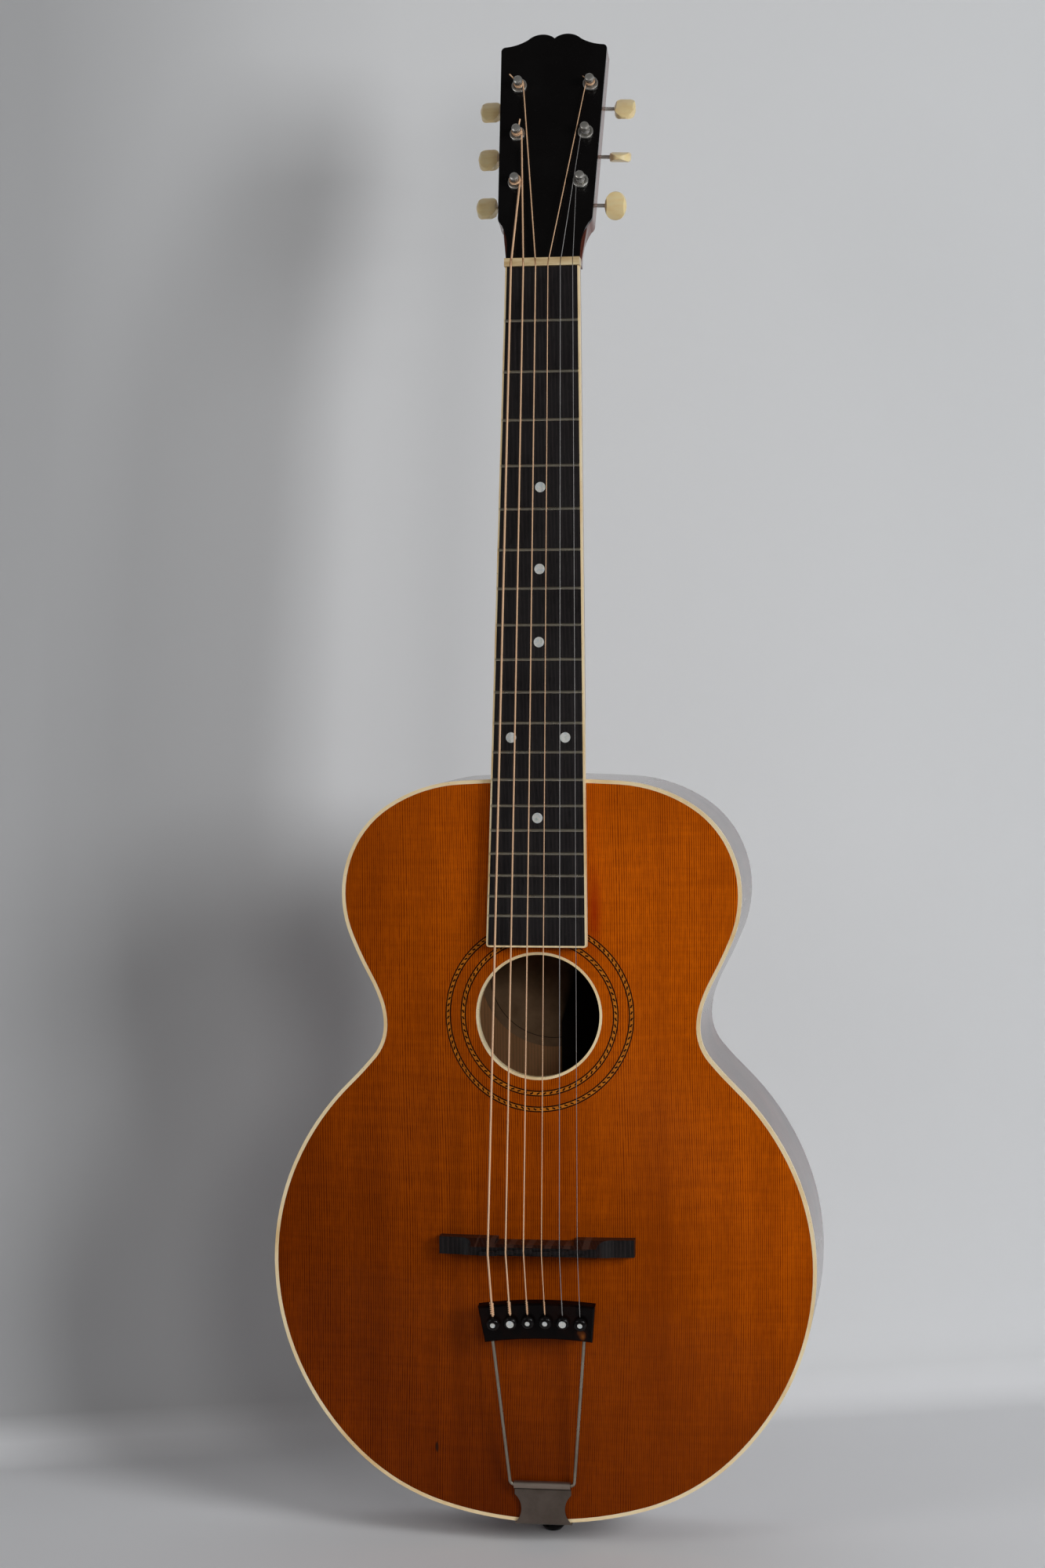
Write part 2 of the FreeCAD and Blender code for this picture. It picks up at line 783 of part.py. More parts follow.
def post():
    face, foot = head_thickness, gear_low()
    hub = -plate_thickness - side_gap
    points = [(0, foot), (post_foot_radius, foot), (post_foot_radius, hub), (post_radius, hub),
              (post_radius, face + post_waist_low), (post_waist_radius, face + post_waist_low),
              (post_waist_radius, face + post_waist_high), (post_radius, face + post_waist_high),
              (post_radius, face + post_rise), (0, face + post_rise)]
    return turned(points, V(0, 0, 0), front)


def gear_low():
    return -worm_axis_depth - gear_face / 2


def tooth_half_widths():
    """Half the width of a gear tooth at its root and at its tip."""
    middle = gear_tooth_share * pitch / 2
    slope = tan(radians(tooth_slope)) * gear_module
    return [(gear_radius - dedendum_share * gear_module, middle + slope * dedendum_share / 2),
            (gear_radius + addendum_share * gear_module, middle - slope * addendum_share)]


def gear_ring(z, turn):
    points = []
    flank = [(r, w / r) for r, w in tooth_half_widths()]
    for tooth in range(gear_teeth):
        centre = 2 * pi * (tooth + 0.5) / gear_teeth + turn
        for r, w in flank + [(r, -w) for r, w in reversed(flank)]:
            points.append(V(r * cos(centre - w), r * sin(centre - w), z))
    return points


def gear():
    """The toothed wheel on the post's foot, its teeth slanted to suit the worm, and its screw."""
    twist = pitch * gear_face / 2 / (2 * pi * worm_pitch_radius * gear_radius)
    low, high = gear_low(), gear_low() + gear_face
    wheel = facets([gear_ring(low, -twist), gear_ring(high, twist)])
    hub = rod(gear_hub_radius, V(0, 0, high), V(0, 0, -plate_thickness - side_gap))
    bore = rod(post_foot_radius, V(0, 0, -overrun), V(0, 0, overrun))
    slot = box(-gear_screw_radius, gear_screw_radius, -screw_slot_width / 2, screw_slot_width / 2,
               low - gear_screw_rise, low - gear_screw_rise + screw_slot_depth)
    screw = rod(gear_screw_radius, V(0, 0, low - gear_screw_rise), V(0, 0, low)).cut(slot)
    return group([wheel.fuse(hub).cut(bore), screw])


def worm(side):
    """The worm and its shaft, along x: a right-hand thread, set to mesh with the gear at rest."""
    slope = tan(radians(tooth_slope))
    inner = worm_root - shaft_radius / 2
    middle = worm_thread_share * pitch / 2
    low, high = middle + slope * (worm_pitch_radius - inner), middle - slope * (worm_tip - worm_pitch_radius)
    start = 0 if worm_side[side] < 0 else pi
    step_angle = 2 * pi / worm_steps_per_turn
    rings = []
    for step in range(worm_turns * worm_steps_per_turn + 1):
        angle = step * step_angle - worm_turns * pi
        x, out = pitch * angle / (2 * pi), V(0, cos(angle + start), sin(angle + start))
        corners = [(x - low, inner), (x - high, worm_tip), (x + high, worm_tip), (x + low, inner)]
        rings.append([across * a + out * r for a, r in corners])
    ring = [V(-worm_half_length, worm_root * cos(step_angle * (step + 0.5)),
              worm_root * sin(step_angle * (step + 0.5))) for step in range(worm_steps_per_turn)]
    core = lines_face(ring).extrude(across * (2 * worm_half_length))
    inner_end = -worm_half_length - side_gap - lug_thickness - screw_slot_depth
    shaft = rod(shaft_radius, V(inner_end, 0, 0), V(button_reach + button_socket, 0, 0))
    return core.fuse([facets(rings), shaft])


def button(turn):
    """An oval button, domed along its length and bevelled, on the outer end of the worm's shaft."""
    half_length, half_width, half = button_length / 2, button_width / 2, button_thickness / 2
    centre = V(button_reach + half_length, 0, 0)
    joint = V(half_length * button_oval_shares[0], half_width * button_oval_shares[1], 0)
    right, top = V(half_length, 0, 0), V(0, half_width, 0)
    up, down, left = V(joint.x, joint.y, 0), V(joint.x, -joint.y, 0), V(-joint.x, joint.y, 0)
    oval = extruded([arc(down, right, up), arc(up, top, left), arc(left, -right, -up), arc(-up, -top, down)],
                    -button_thickness, button_thickness)
    tip, end = button_tip_thickness / 2, half_width - button_end_radius / 2
    corners = [V(0, end, tip), V(0, -end, tip), V(0, -end, -tip), V(0, end, -tip)]
    middles = [V(0, 0, half), V(0, -half_width, 0), V(0, 0, -half), V(0, half_width, 0)]
    dome = Part.Wire([arc(a, b, c) for a, b, c in zip(corners, middles, corners[1:] + corners[:1])])
    dome = Part.Face(dome).extrude(across * (2 * button_length))
    dome.translate(across * -button_length)
    bevel = [V(x * (half_length - dx), -button_width, z * (half - dz)) for x, z, dx, dz in
             [(-1, -1, 0, button_edge), (-1, -1, button_edge, 0), (1, -1, button_edge, 0),
              (1, -1, 0, button_edge), (1, 1, 0, button_edge), (1, 1, button_edge, 0),
              (-1, 1, button_edge, 0), (-1, 1, 0, button_edge)]]
    bevel = lines_face(bevel).extrude(V(0, 2 * button_width, 0))
    body = oval.common(dome).common(bevel)
    body.translate(centre)
    body.rotate(V(0, 0, 0), across, turn)
    return body.cut(rod(shaft_radius, V(0, 0, 0), V(button_reach + button_socket, 0, 0)))


def on_worm(shape, side):
    moved = shape.copy()
    moved.translate(V(0, worm_side[side] * worm_offset, -worm_axis_depth))
    return moved


def tuner_plate(side):
    """One plate for three tuners, with two bent-up lugs for each worm shaft."""
    down = worm_side[side]
    frames = tuner_frames[side]
    half, ends = plate_width / 2, (-plate_overhang, 2 * post_spacing + plate_overhang)
    plate = box(-half, half, ends[0], ends[1], -plate_thickness, 0)
    corners = [edge for edge in plate.Edges if abs(edge.tangentAt(0).z) > 0.9]
    plate = plate.makeFillet(plate_corner, corners)
    if down > 0:
        plate.rotate(V(0, 0, 0), front, 180)
    pieces, holes = [], []
    for index in range(3):
        y = -down * index * post_spacing
        worm_y = y + down * worm_offset
        tip = -worm_axis_depth - shaft_radius - lug_margin
        for x in (-worm_half_length - side_gap - lug_thickness, worm_half_length + side_gap):
            pieces.append(box(x, x + lug_thickness, worm_y - lug_width / 2, worm_y + lug_width / 2, tip,
                              -plate_thickness))
        holes.append(rod(post_radius + running_gap, V(0, y, -overrun), V(0, y, overrun)))
        holes.append(rod(shaft_radius + running_gap, V(-half, worm_y, -worm_axis_depth),
                         V(half, worm_y, -worm_axis_depth)))
    for x, y in plate_screw_places(side):
        holes.append(rod(plate_screw_shank, V(x, y, -overrun), V(x, y, overrun)))
    return placed(plate.fuse(pieces).cut(holes), frames[0])


def plate_screw_places(side):
    """Four screws a side: beyond the two end posts, and between the posts."""
    down = worm_side[side]
    reach = worm_offset + worm_tip + plate_screw_radius + 2 * side_gap
    heights = [-reach] + [post_spacing * share for share in plate_screw_shares] + [2 * post_spacing + reach]
    return [(0, -down * y) for y in heights]


def round_head_screw(radius, rise, shank, depth):
    """A low head on a plain shank; z points into the wood."""
    points = [(0, -rise), (radius, -rise), (radius, 0), (shank, 0), (shank, depth), (0, depth)]
    return turned(points, V(0, 0, 0), front)


def plate_screw_holes():
    holes = []
    for side, frames in tuner_frames.items():
        for x, y in plate_screw_places(side):
            hole = rod(plate_screw_shank, V(x, y, 0), V(x, y, plate_screw_depth - plate_thickness))
            holes.append(placed(hole, frames[0]))
    return holes


def tuner_plate_screws():
    screws = []
    for side, frames in tuner_frames.items():
        for x, y in plate_screw_places(side):
            screw = round_head_screw(plate_screw_radius, plate_screw_rise, plate_screw_shank,
                                     plate_screw_depth)
            screw.translate(V(x, y, -plate_thickness))
            screws.append(placed(screw, frames[0]))
    return screws


def bridge():
    """One piece of wood: arched feet, low wings, and a crest with one step for each string."""
    low, high = bridge_height - bridge_foot_setback, bridge_height - bridge_foot_setback + bridge_thickness
    half, half_crest = bridge_length / 2, bridge_crest_width / 2
    centre_rise = arch_rise(0, bridge_height, top_rise, neck_end_rise_share)
    wing = centre_rise + bridge_wing_rise
    crest = string_rise - saddle_step_rise
    knee = (half - half_crest) * 0.45
    right = [V(half, 0, 0), V(half, 0, wing - block_edge), V(half_crest + knee, 0, wing)]
    bend = V(half_crest + knee * 0.35, 0, wing + (crest - wing) * 0.22)
    brow = V(half_crest, 0, crest)
    left = [V(-p.x, 0, p.z) for p in reversed(right)]
    edges = lines(right) + [arc(right[-1], bend, brow)] + lines([brow, V(-brow.x, 0, crest)])
    edges += [arc(V(-brow.x, 0, crest), V(-bend.x, 0, bend.z), left[0])] + lines(left)
    edges += lines([left[-1], right[0]])
    face = Part.Face(Part.Wire(edges))
    face.translate(V(0, low, 0))
    body = face.extrude(V(0, high - low, 0))
    half_top = bridge_crest_thickness / 2
    start = crest - bridge_flank
    for y, edge in ((low, bridge_height - half_top), (high, bridge_height + half_top)):
        points = [V(0, y, start), V(0, y, crest + overrun), V(0, edge, crest + overrun), V(0, edge, crest)]
        wedge = Part.Face(Part.makePolygon([V(-half, p.y, p.z) for p in points + points[:1]]))
        body = body.cut(wedge.extrude(V(2 * half, 0, 0)))
    relief = bridge_relief_width / 2
    body = body.cut(box(-relief, relief, high - bridge_relief_depth, high + overrun, 0, overrun * 2))
    steps = []
    width = string_spread_bridge / (string_count - 1)
    for index, offset in enumerate(saddle_steps):
        x, y = string_offset(index, string_spread_bridge), bridge_height + offset
        steps.append(box(x - width / 2, x + width / 2, y - saddle_step_thickness / 2,
                         y + saddle_step_thickness / 2, crest - bridge_flank / 2, string_rise))
    body = body.fuse(steps).cut(top_layer(overrun))
    cuts = []
    for index in range(string_count):
        for end in (nut_point(index), anchor_point(index)):
            cuts.append(string_slot(index, bridge_point(index), end))
    return placed(body, body_frame).cut(cuts).removeSplitter()


def body_point(x, y, z):
    return body_frame.multVec(V(x, y, z))


def nut_point(index):
    """Where a string bends over the nut."""
    x = string_offset(index, string_spread_nut)
    return board_frame.multVec(V(x, nut_thickness / 4, string_rise_nut))


def bridge_point(index):
    x = string_offset(index, string_spread_bridge)
    return body_point(x, bridge_height + saddle_steps[index], string_rise)


def tail_pin_place(index):
    x = string_offset(index, tail_pin_spacing * (string_count - 1))
    return V(x, block_foot_reach + tail_pin_rise - bow_drop(x), block_thickness / 2)


def bow_drop(x):
    """How far the block's curved edges drop below their middle."""
    return block_bow * (2 * x / block_top_width) ** 2


def anchor_point(index):
    """Where a string turns down into the tailpiece block, beside its pin."""
    place = tail_pin_place(index)
    radius = string_radii[index]
    gap = tail_pin_head_radius + radius + string_slot_gap * 2
    return block_frame.multVec(place + V(0, gap, anchor_bend + radius / 2))


def winding_radius(index):
    return post_waist_radius + string_radii[index] + side_gap


def winding_start(index):
    return head_thickness + winding_low + string_radii[index]


def post_contact(index):
    """Where a string first touches its post, on the side nearer the middle of the headstock."""
    side, number = string_post(index)
    frame = tuner_frames[side][number]
    return frame.multVec(V(-winding_radius(index), 0, winding_start(index)))


def biarc(start, along, end, along_end):
    """Two edges that join start to end and have the given unit directions there."""
    return [arc(*[point for point, way in three]) for three in biarc_stations(start, along, end, along_end)]


def rounded_route(points, radii):
    """Straight runs through points, with a tangent arc of its own radius at each inner point."""
    edges, here = [], points[0]
    for before, corner, after, radius in zip(points, points[1:], points[2:], radii):
        a, b = (before - corner).normalize(), (after - corner).normalize()
        half = a.getAngle(b) / 2
        reach = radius / tan(half)
        middle = corner + (a + b).normalize() * (radius / sin(half) - radius)
        edges += lines([here, corner + a * reach])
        edges.append(arc(corner + a * reach, middle, corner + b * reach))
        here = corner + b * reach
    return edges + lines([here, points[-1]])


def string_route(index):
    """A string's centre line: out of the block, over bridge and nut, and round its post."""
    side, number = string_post(index)
    frame = tuner_frames[side][number]
    radius, start = winding_radius(index), winding_start(index)
    rise = string_diameters[index] + winding_gap
    way = 1 if side == "bass" else -1

    def on_winding(turn):
        angle = pi + way * 2 * pi * turn
        place = V(radius * cos(angle), radius * sin(angle), start + rise * turn)
        along = V(-sin(angle) * way * 2 * pi * radius, cos(angle) * way * 2 * pi * radius, rise)
        return frame.multVec(place), frame.Rotation.multVec(along).normalize()

    touch, touch_along = on_winding(0)
    anchor, crown, nut_top = anchor_point(index), bridge_point(index), nut_point(index)
    sunk = anchor - block_frame.Rotation.multVec(front) * (anchor_depth + block_thickness / 2)
    lead = touch - (touch - nut_top).normalize() * post_lead
    edges = rounded_route([sunk, anchor, crown, nut_top, lead], [anchor_bend, bridge_bend, nut_bend])
    edges += biarc(lead, (lead - nut_top).normalize(), touch, touch_along)
    quarters = int(round(string_turns[index] * 4))
    for quarter in range(quarters):
        here, along = on_winding(quarter / 4)
        there, along_there = on_winding((quarter + 1) / 4)
        edges += biarc(here, along, there, along_there)
    return edges


def least_winding_gap(index):
    """The least gap between two turns of a string on its post, measured on points of its route."""
    quarters = int(round(string_turns[index] * 4))
    points = [p for edge in string_route(index)[-2 * quarters:] for p in edge.discretize(gap_samples)]
    apart = len(points) // quarters * 2
    gaps = [(p - q).Length for i, p in enumerate(points) for q in points[i + apart:]]
    return min(gaps) - string_diameters[index]


def string(index):
    edges = string_route(index)
    path = Part.Wire(Part.__sortEdges__(edges))
    start = edges[0].Vertexes[0].Point
    inward = block_frame.Rotation.multVec(front)
    along = inward.cross(block_frame.Rotation.multVec(V(0, 1, 0))).normalize()
    side = inward.cross(along)
    ring = []
    for corner in range(string_sides):
        angle = 2 * pi * corner / string_sides
        ring.append(start + (along * cos(angle) + side * sin(angle)) * string_radii[index])
    section = Part.makePolygon(ring + ring[:1])
    return path.makePipeShell([section], True, False)


def tail_block():
    top, foot = block_top_width / 2, block_foot_width / 2
    low, high = block_foot_reach, block_foot_reach + block_height
    drop = block_bow
    edges = [arc(V(top, high - drop, 0), V(0, high, 0), V(-top, high - drop, 0))]
    edges += lines([V(-top, high - drop, 0), V(-foot, low - drop, 0)])
    edges.append(arc(V(-foot, low - drop, 0), V(0, low, 0), V(foot, low - drop, 0)))
    edges += lines([V(foot, low - drop, 0), V(top, high - drop, 0)])
    half = block_thickness / 2
    block = extruded(edges, -half, half)
    rims = [edge for edge in block.Edges if abs(edge.CenterOfMass.z - half) < tiny]
    block = block.makeChamfer(block_edge, rims)
    cuts = []
    for index in range(string_count):
        place = tail_pin_place(index)
        cuts.append(rod(tail_pin_radius + glue_gap, place - front * overrun, place + front * overrun))
        anchor = block_frame.inverse().multVec(anchor_point(index))
        radius = string_radii[index] + string_slot_gap
        cuts.append(rod(radius, V(anchor.x, anchor.y, -overrun), V(anchor.x, anchor.y, overrun)))
    wires = [rod(tail_wire_radius + glue_gap, base, tip) for base, tip in tail_wire_ends()]
    return placed(placed(block.cut(cuts), block_place).cut(wires), tail_frame)


def tail_wire_ends():
    """The wire's two legs, each from its foot in the hinge to its tip in the block."""
    tip_height = block_foot_reach - block_bow + tail_wire_seat
    return [(V(side * tail_wire_half_foot, 0, 0), block_place.multVec(V(side * tail_wire_half_top, tip_height, 0)))
            for side in (-1, 1)]


def tail_wire():
    (left_foot, left_tip), (right_foot, right_tip) = tail_wire_ends()
    edges = rounded_route([left_tip, left_foot, right_foot, right_tip], [tail_wire_bend] * 2)
    path = Part.Wire(edges)
    circle = Part.Circle(left_tip, left_foot - left_tip, tail_wire_radius).toShape()
    return placed(path.makePipeShell([Part.Wire([circle])], True, False), tail_frame)


def tail_pins():
    """Black pins with round heads, each with a seat for its pearl eye."""
    neck_end, tip = tail_pin_head_gap, tail_pin_head_gap + tail_pin_head_rise
    pins = []
    for index, eye in enumerate(pin_eye_radii):
        points = [(0, -tail_pin_length), (tail_pin_radius, -tail_pin_length), (tail_pin_radius, neck_end),
                  (tail_pin_head_radius, neck_end), (tail_pin_head_radius, neck_end + tail_pin_head_rise / 2),
                  (tail_pin_head_radius * 0.7, tip), (eye, tip), (eye, tip - pin_eye_thickness),
                  (0, tip - pin_eye_thickness)]
        pins.append(placed(turned(points, tail_pin_place(index), front), block_frame))
    return group(pins)


def pin_eyes():
    eyes = []
    top = tail_pin_head_gap + tail_pin_head_rise
    for index, radius in enumerate(pin_eye_radii):
        place = tail_pin_place(index)
        eye = rod(radius, place + front * (top - pin_eye_thickness), place + front * top)
        eyes.append(placed(eye, block_frame))
    return group(eyes)


def tail_bracket():
    """A sheet bracket: rolled round the wire above, scalloped in front, and bent under the foot."""
    half, waist, foot = bracket_top_half_width, bracket_waist_half_width, bracket_foot_half_width
    top = hinge_height
    corner = V(half, bracket_waist_height + (top - bracket_waist_height) * 0.45, 0)
    edges = lines([V(-half, top, 0), V(half, top, 0), corner])
    edges.append(arc(corner, V(waist, bracket_waist_height, 0), V(foot, 0, 0)))
    left = V(-corner.x, corner.y, 0)
    edges += lines([V(foot, 0, 0), V(foot, -overrun, 0), V(-foot, -overrun, 0), V(-foot, 0, 0)])
    edges.append(arc(V(-foot, 0, 0), V(-waist, bracket_waist_height, 0), left))
    edges += lines([left, V(-half, top, 0)])
    plan = extruded(edges, -overrun, overrun)
    strip = bracket_strip(half + foot)
    face = strip.common(plan)
    centre = V(0, hinge_height, hinge_rise)
    barrel = rod(hinge_radius, centre - across * hinge_half_length, centre + across * hinge_half_length)
    bore = rod(tail_wire_radius + hinge_seam, centre - across * half * 2, centre + across * half * 2)
    leg = bracket_leg()
    whole = face.fuse([barrel, leg]).cut(bore)
    holes = [end_pin_hole(glue_gap), bracket_screw_holes()]
    return whole.cut(holes).removeSplitter()


def bracket_strip(width):
    """The bracket's front sheet, from the rolled eye down to the bend at the foot."""
    t, bend = bracket_thickness, bracket_bend
    eye = V(0, hinge_height - hinge_radius / 4, hinge_rise - hinge_radius + t)
    low = V(0, -t + bend, bracket_front_rise + t)
    rim = V(0, -t, bracket_front_rise + t - bend)
    mid = V(0, -t + bend * (1 - sqrt(2) / 2), bracket_front_rise + t - bend * (1 - sqrt(2) / 2))
    inner = bend - t
    points = [V(0, 0, rim.z), V(0, inner * (1 - sqrt(2) / 2), rim.z + inner * sqrt(2) / 2), V(0, inner, low.z - t)]
    edges = lines([eye, low]) + [arc(low, mid, rim)] + lines([rim, points[0]])
    edges += [arc(points[0], points[1], points[2])] + lines([points[2], eye - V(0, 0, t), eye])
    face = Part.Face(Part.Wire(edges))
    face.translate(V(-width / 2, 0, 0))
    return face.extrude(V(width, 0, 0))


def bracket_leg():
    """The bracket's leg, along the foot of the body under the end pin and its screws."""
    t, half = bracket_thickness, bracket_foot_half_width
    start = bracket_front_rise + t - bracket_bend
    end, narrow = -bracket_leg_end, bracket_leg_half_width
    points = [V(-half, 0, start), V(-half, 0, start - half), V(-narrow, 0, -rim_depth / 2),
              V(-narrow, 0, end + narrow)]
    right = [V(-p.x, 0, p.z) for p in reversed(points)]
    edges = lines(points) + [arc(points[-1], V(0, 0, end), right[0])] + lines(right + points[:1])
    return Part.Face(Part.Wire(edges)).extrude(V(0, -t, 0))


def end_pin_hole(gap=0):
    centre = V(0, 0, -rim_depth / 2)
    return rod(end_pin_shank_radius + gap, centre - V(0, overrun, 0), centre + V(0, overrun, 0))


def bracket_screw_places():
    near, wide = -rim_depth * 0.2, bracket_waist_half_width * 0.8
    return [V(-wide, 0, near), V(wide, 0, near), V(0, 0, -bracket_leg_end + bracket_leg_half_width * 0.45)]


def bracket_screw_holes():
    reach = V(0, overrun, 0)
    return group([rod(bracket_screw_shank, place - reach, place + reach)
                  for place in bracket_screw_places()])


def bracket_screws():
    screws = []
    for place in bracket_screw_places():
        screw = round_head_screw(bracket_screw_radius, bracket_screw_rise, bracket_screw_shank,
                                 bracket_screw_length)
        spin = FreeCAD.Rotation(across, -90)
        screws.append(placed(screw, FreeCAD.Placement(place - V(0, bracket_thickness, 0), spin)))
    return group(screws)


def end_pin():
    seat = bracket_thickness
    collar, neck_end = seat + end_pin_collar, seat + end_pin_collar + end_pin_neck
    tip = neck_end + end_pin_head
    land = neck_end + end_pin_land
    points = [(0, -end_pin_shank), (end_pin_shank_radius, -end_pin_shank), (end_pin_shank_radius, seat),
              (end_pin_collar_radius, seat), (end_pin_collar_radius, collar), (end_pin_radius, collar),
              (end_pin_radius, neck_end), (end_pin_head_radius, neck_end), (end_pin_head_radius, land),
              (end_pin_head_radius * 0.7, tip), (0, tip)]
    return turned(points, V(0, 0, -rim_depth / 2), V(0, -1, 0))


def build():
    os.makedirs("parts", exist_ok=True)
    rib_bass, rib_treble = ribs()
    neck_block, tail_end_block = blocks()
    in_body = {"soundboard": soundboard(), "back_plate": back_plate(), "rib_bass": rib_bass,
               "rib_treble": rib_treble, "linings": linings(), "neck_block": neck_block,
               "tail_block": tail_end_block, "top_braces": top_braces(), "top_binding": top_binding(),
               "soundhole_binding": soundhole_binding(), "rosette_rings": rosette_rings(),
               "tailpiece_bracket": tail_bracket(), "tailpiece_screws": bracket_screws(),
               "end_pin": end_pin()}
    for name, shape in in_body.items():
        save(name, placed(shape, body_frame))
    on_board = {"fingerboard": fingerboard(), "fingerboard_binding": fingerboard_binding(),
                "position_dots": position_dots(), "frets": frets(), "nut": nut()}
    for name, shape in on_board.items():
        save(name, placed(shape, board_frame))
    save("neck", neck())
    save("headstock_veneer", headstock_veneer())
    save("bridge", bridge())
    save("tailpiece_block", tail_block())
    save("tailpiece_wire", tail_wire())
    save("tailpiece_pins", tail_pins())
    save("tailpiece_pin_eyes", pin_eyes())
    for index in range(string_count):
        save("string_" + str(index + 1), string(index))
        print("least gap between its turns", round(least_winding_gap(index), 3))
    save("post_ferrules", group([placed(ferrule(), frame) for frames in tuner_frames.values()
                                 for frame in frames]))
    save("tuner_plate_screws", group(tuner_plate_screws()))
    for side, frames in tuner_frames.items():
        save("tuner_plate_" + side, tuner_plate(side))
        side_worm = worm(side)
        for number, frame in enumerate(frames):
            place = "_" + side + "_" + str(number + 1)
            save("tuner_post" + place, placed(post(), frame))
            save("tuner_gear" + place, placed(gear(), frame))
            save("tuner_worm" + place, placed(on_worm(side_worm, side), frame))
            turn = button_turns[side][number]
            save("tuner_button" + place, placed(on_worm(button(turn), side), frame))


build()
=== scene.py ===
import bpy
import bmesh
import json
from math import cos, pi, radians, sin
from mathutils import Matrix, Vector


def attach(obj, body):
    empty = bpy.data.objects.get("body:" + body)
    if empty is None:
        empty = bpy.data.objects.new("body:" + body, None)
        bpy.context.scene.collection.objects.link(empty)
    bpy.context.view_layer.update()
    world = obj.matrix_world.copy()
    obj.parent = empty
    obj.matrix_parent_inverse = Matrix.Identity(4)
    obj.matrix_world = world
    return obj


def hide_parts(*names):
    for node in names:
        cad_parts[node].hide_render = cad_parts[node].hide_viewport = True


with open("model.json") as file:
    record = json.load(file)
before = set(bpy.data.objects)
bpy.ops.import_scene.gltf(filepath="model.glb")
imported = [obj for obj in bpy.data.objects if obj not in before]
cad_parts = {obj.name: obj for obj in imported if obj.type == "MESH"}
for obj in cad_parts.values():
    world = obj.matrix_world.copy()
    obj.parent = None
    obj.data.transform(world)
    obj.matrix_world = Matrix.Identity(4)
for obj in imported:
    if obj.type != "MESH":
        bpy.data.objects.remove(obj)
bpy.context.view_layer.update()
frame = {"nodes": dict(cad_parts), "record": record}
cad = frame["nodes"]
print("loaded", len(cad), "pieces of the guitar")

# Camera, lamps and air

camera = {"place": (0.27443, -1.93881, 0.55493), "turn": (87.709, 0.373, 8.542), "lens": 104.1,
          "sensor": 36.0, "shiftUp": -0.00745, "clip": (0.05, 60.0)}
lamps = {"window": {"place": (1.95, -1.55, 1.10), "size": 0.95, "power": 36.0, "tone": (0.975, 0.995, 1.0)},
         "front": {"place": (0.95, -2.45, 0.95), "size": 0.6, "power": 7.0, "tone": (1.0, 1.0, 1.0)},
         "left": {"place": (-1.7, -1.9, 1.3), "size": 1.0, "power": 9.0, "tone": (1.0, 1.0, 1.0)},
         "back": {"place": (1.2, 1.7, 1.3), "size": 1.2, "power": 40.0, "tone": (1.0, 1.0, 1.0)}}
air = {"tone": (1.0, 1.0, 1.0), "power": 0.045, "aim": (0.0, 0.0, 0.42)}


def makeCamera():
    data = bpy.data.cameras.new("photoCamera")
    data.lens = camera["lens"]
    data.sensor_width = camera["sensor"]
    data.sensor_fit = "HORIZONTAL"
    data.shift_y = camera["shiftUp"]
    data.clip_start, data.clip_end = camera["clip"]
    eye = bpy.data.objects.new("photoCamera", data)
    eye.location = camera["place"]
    eye.rotation_euler = [radians(angle) for angle in camera["turn"]]
    bpy.context.scene.collection.objects.link(eye)
    bpy.context.scene.camera = eye


def makeLamps():
    aim = Vector(air["aim"])
    for name, lamp in lamps.items():
        data = bpy.data.lights.new(name + "Lamp", "AREA")
        data.size = lamp["size"]
        data.energy = lamp["power"]
        data.color = lamp["tone"]
        body = bpy.data.objects.new(name + "Lamp", data)
        body.location = lamp["place"]
        body.rotation_euler = (aim - Vector(lamp["place"])).to_track_quat("-Z", "Y").to_euler()
        body.visible_camera = False
        bpy.context.scene.collection.objects.link(body)
    world = bpy.data.worlds.new("studioAir")
    world.use_nodes = True
    world.node_tree.nodes["Background"].inputs["Color"].default_value = air["tone"] + (1.0,)
    world.node_tree.nodes["Background"].inputs["Strength"].default_value = air["power"]
    bpy.context.scene.world = world


# Shader helpers

def addNode(tree, kind, inputs=None, **settings):
    node = tree.nodes.new(kind)
    for key, value in settings.items():
        setattr(node, key, value)
    for key, value in (inputs or {}).items():
        if hasattr(value, "is_output"):
            tree.links.new(value, node.inputs[key])
        else:
            node.inputs[key].default_value = value
    return node


def ramp(tree, source, stops):
    node = addNode(tree, "ShaderNodeValToRGB", {"Fac": source})
    while len(node.color_ramp.elements) < len(stops):
        node.color_ramp.elements.new(0.5)
    for element, (place, tone) in zip(node.color_ramp.elements, stops):
        element.position = place
        element.color = tuple(tone) + (1.0,)
    return node.outputs["Color"]


def blendTones(tree, factor, first, second, mode="MIX"):
    node = addNode(tree, "ShaderNodeMix", data_type="RGBA", blend_type=mode)
    for socket, value in ((node.inputs[0], factor), (node.inputs[6], first), (node.inputs[7], second)):
        if hasattr(value, "is_output"):
            tree.links.new(value, socket)
        elif isinstance(value, (int, float)):
            socket.default_value = value
        else:
            socket.default_value = tuple(value) + (1.0,)
    return node.outputs[2]


def sums(tree, operation, a, b=0.0, c=0.0):
    node = addNode(tree, "ShaderNodeMath", operation=operation)
    for socket, value in zip(node.inputs, (a, b, c)):
        if hasattr(value, "is_output"):
            tree.links.new(value, socket)
        else:
            socket.default_value = value
    return node.outputs[0]


def arrows(tree, operation, first, second=None):
    # The same for vectors
    given = {0: first} if second is None else {0: first, 1: second}
    return addNode(tree, "ShaderNodeVectorMath", given, operation=operation).outputs


def spread(tree, source, low, high, newLow=0.0, newHigh=1.0):
    return addNode(tree, "ShaderNodeMapRange", {"Value": source, "From Min": low, "From Max": high,
                                                "To Min": newLow, "To Max": newHigh}).outputs[0]


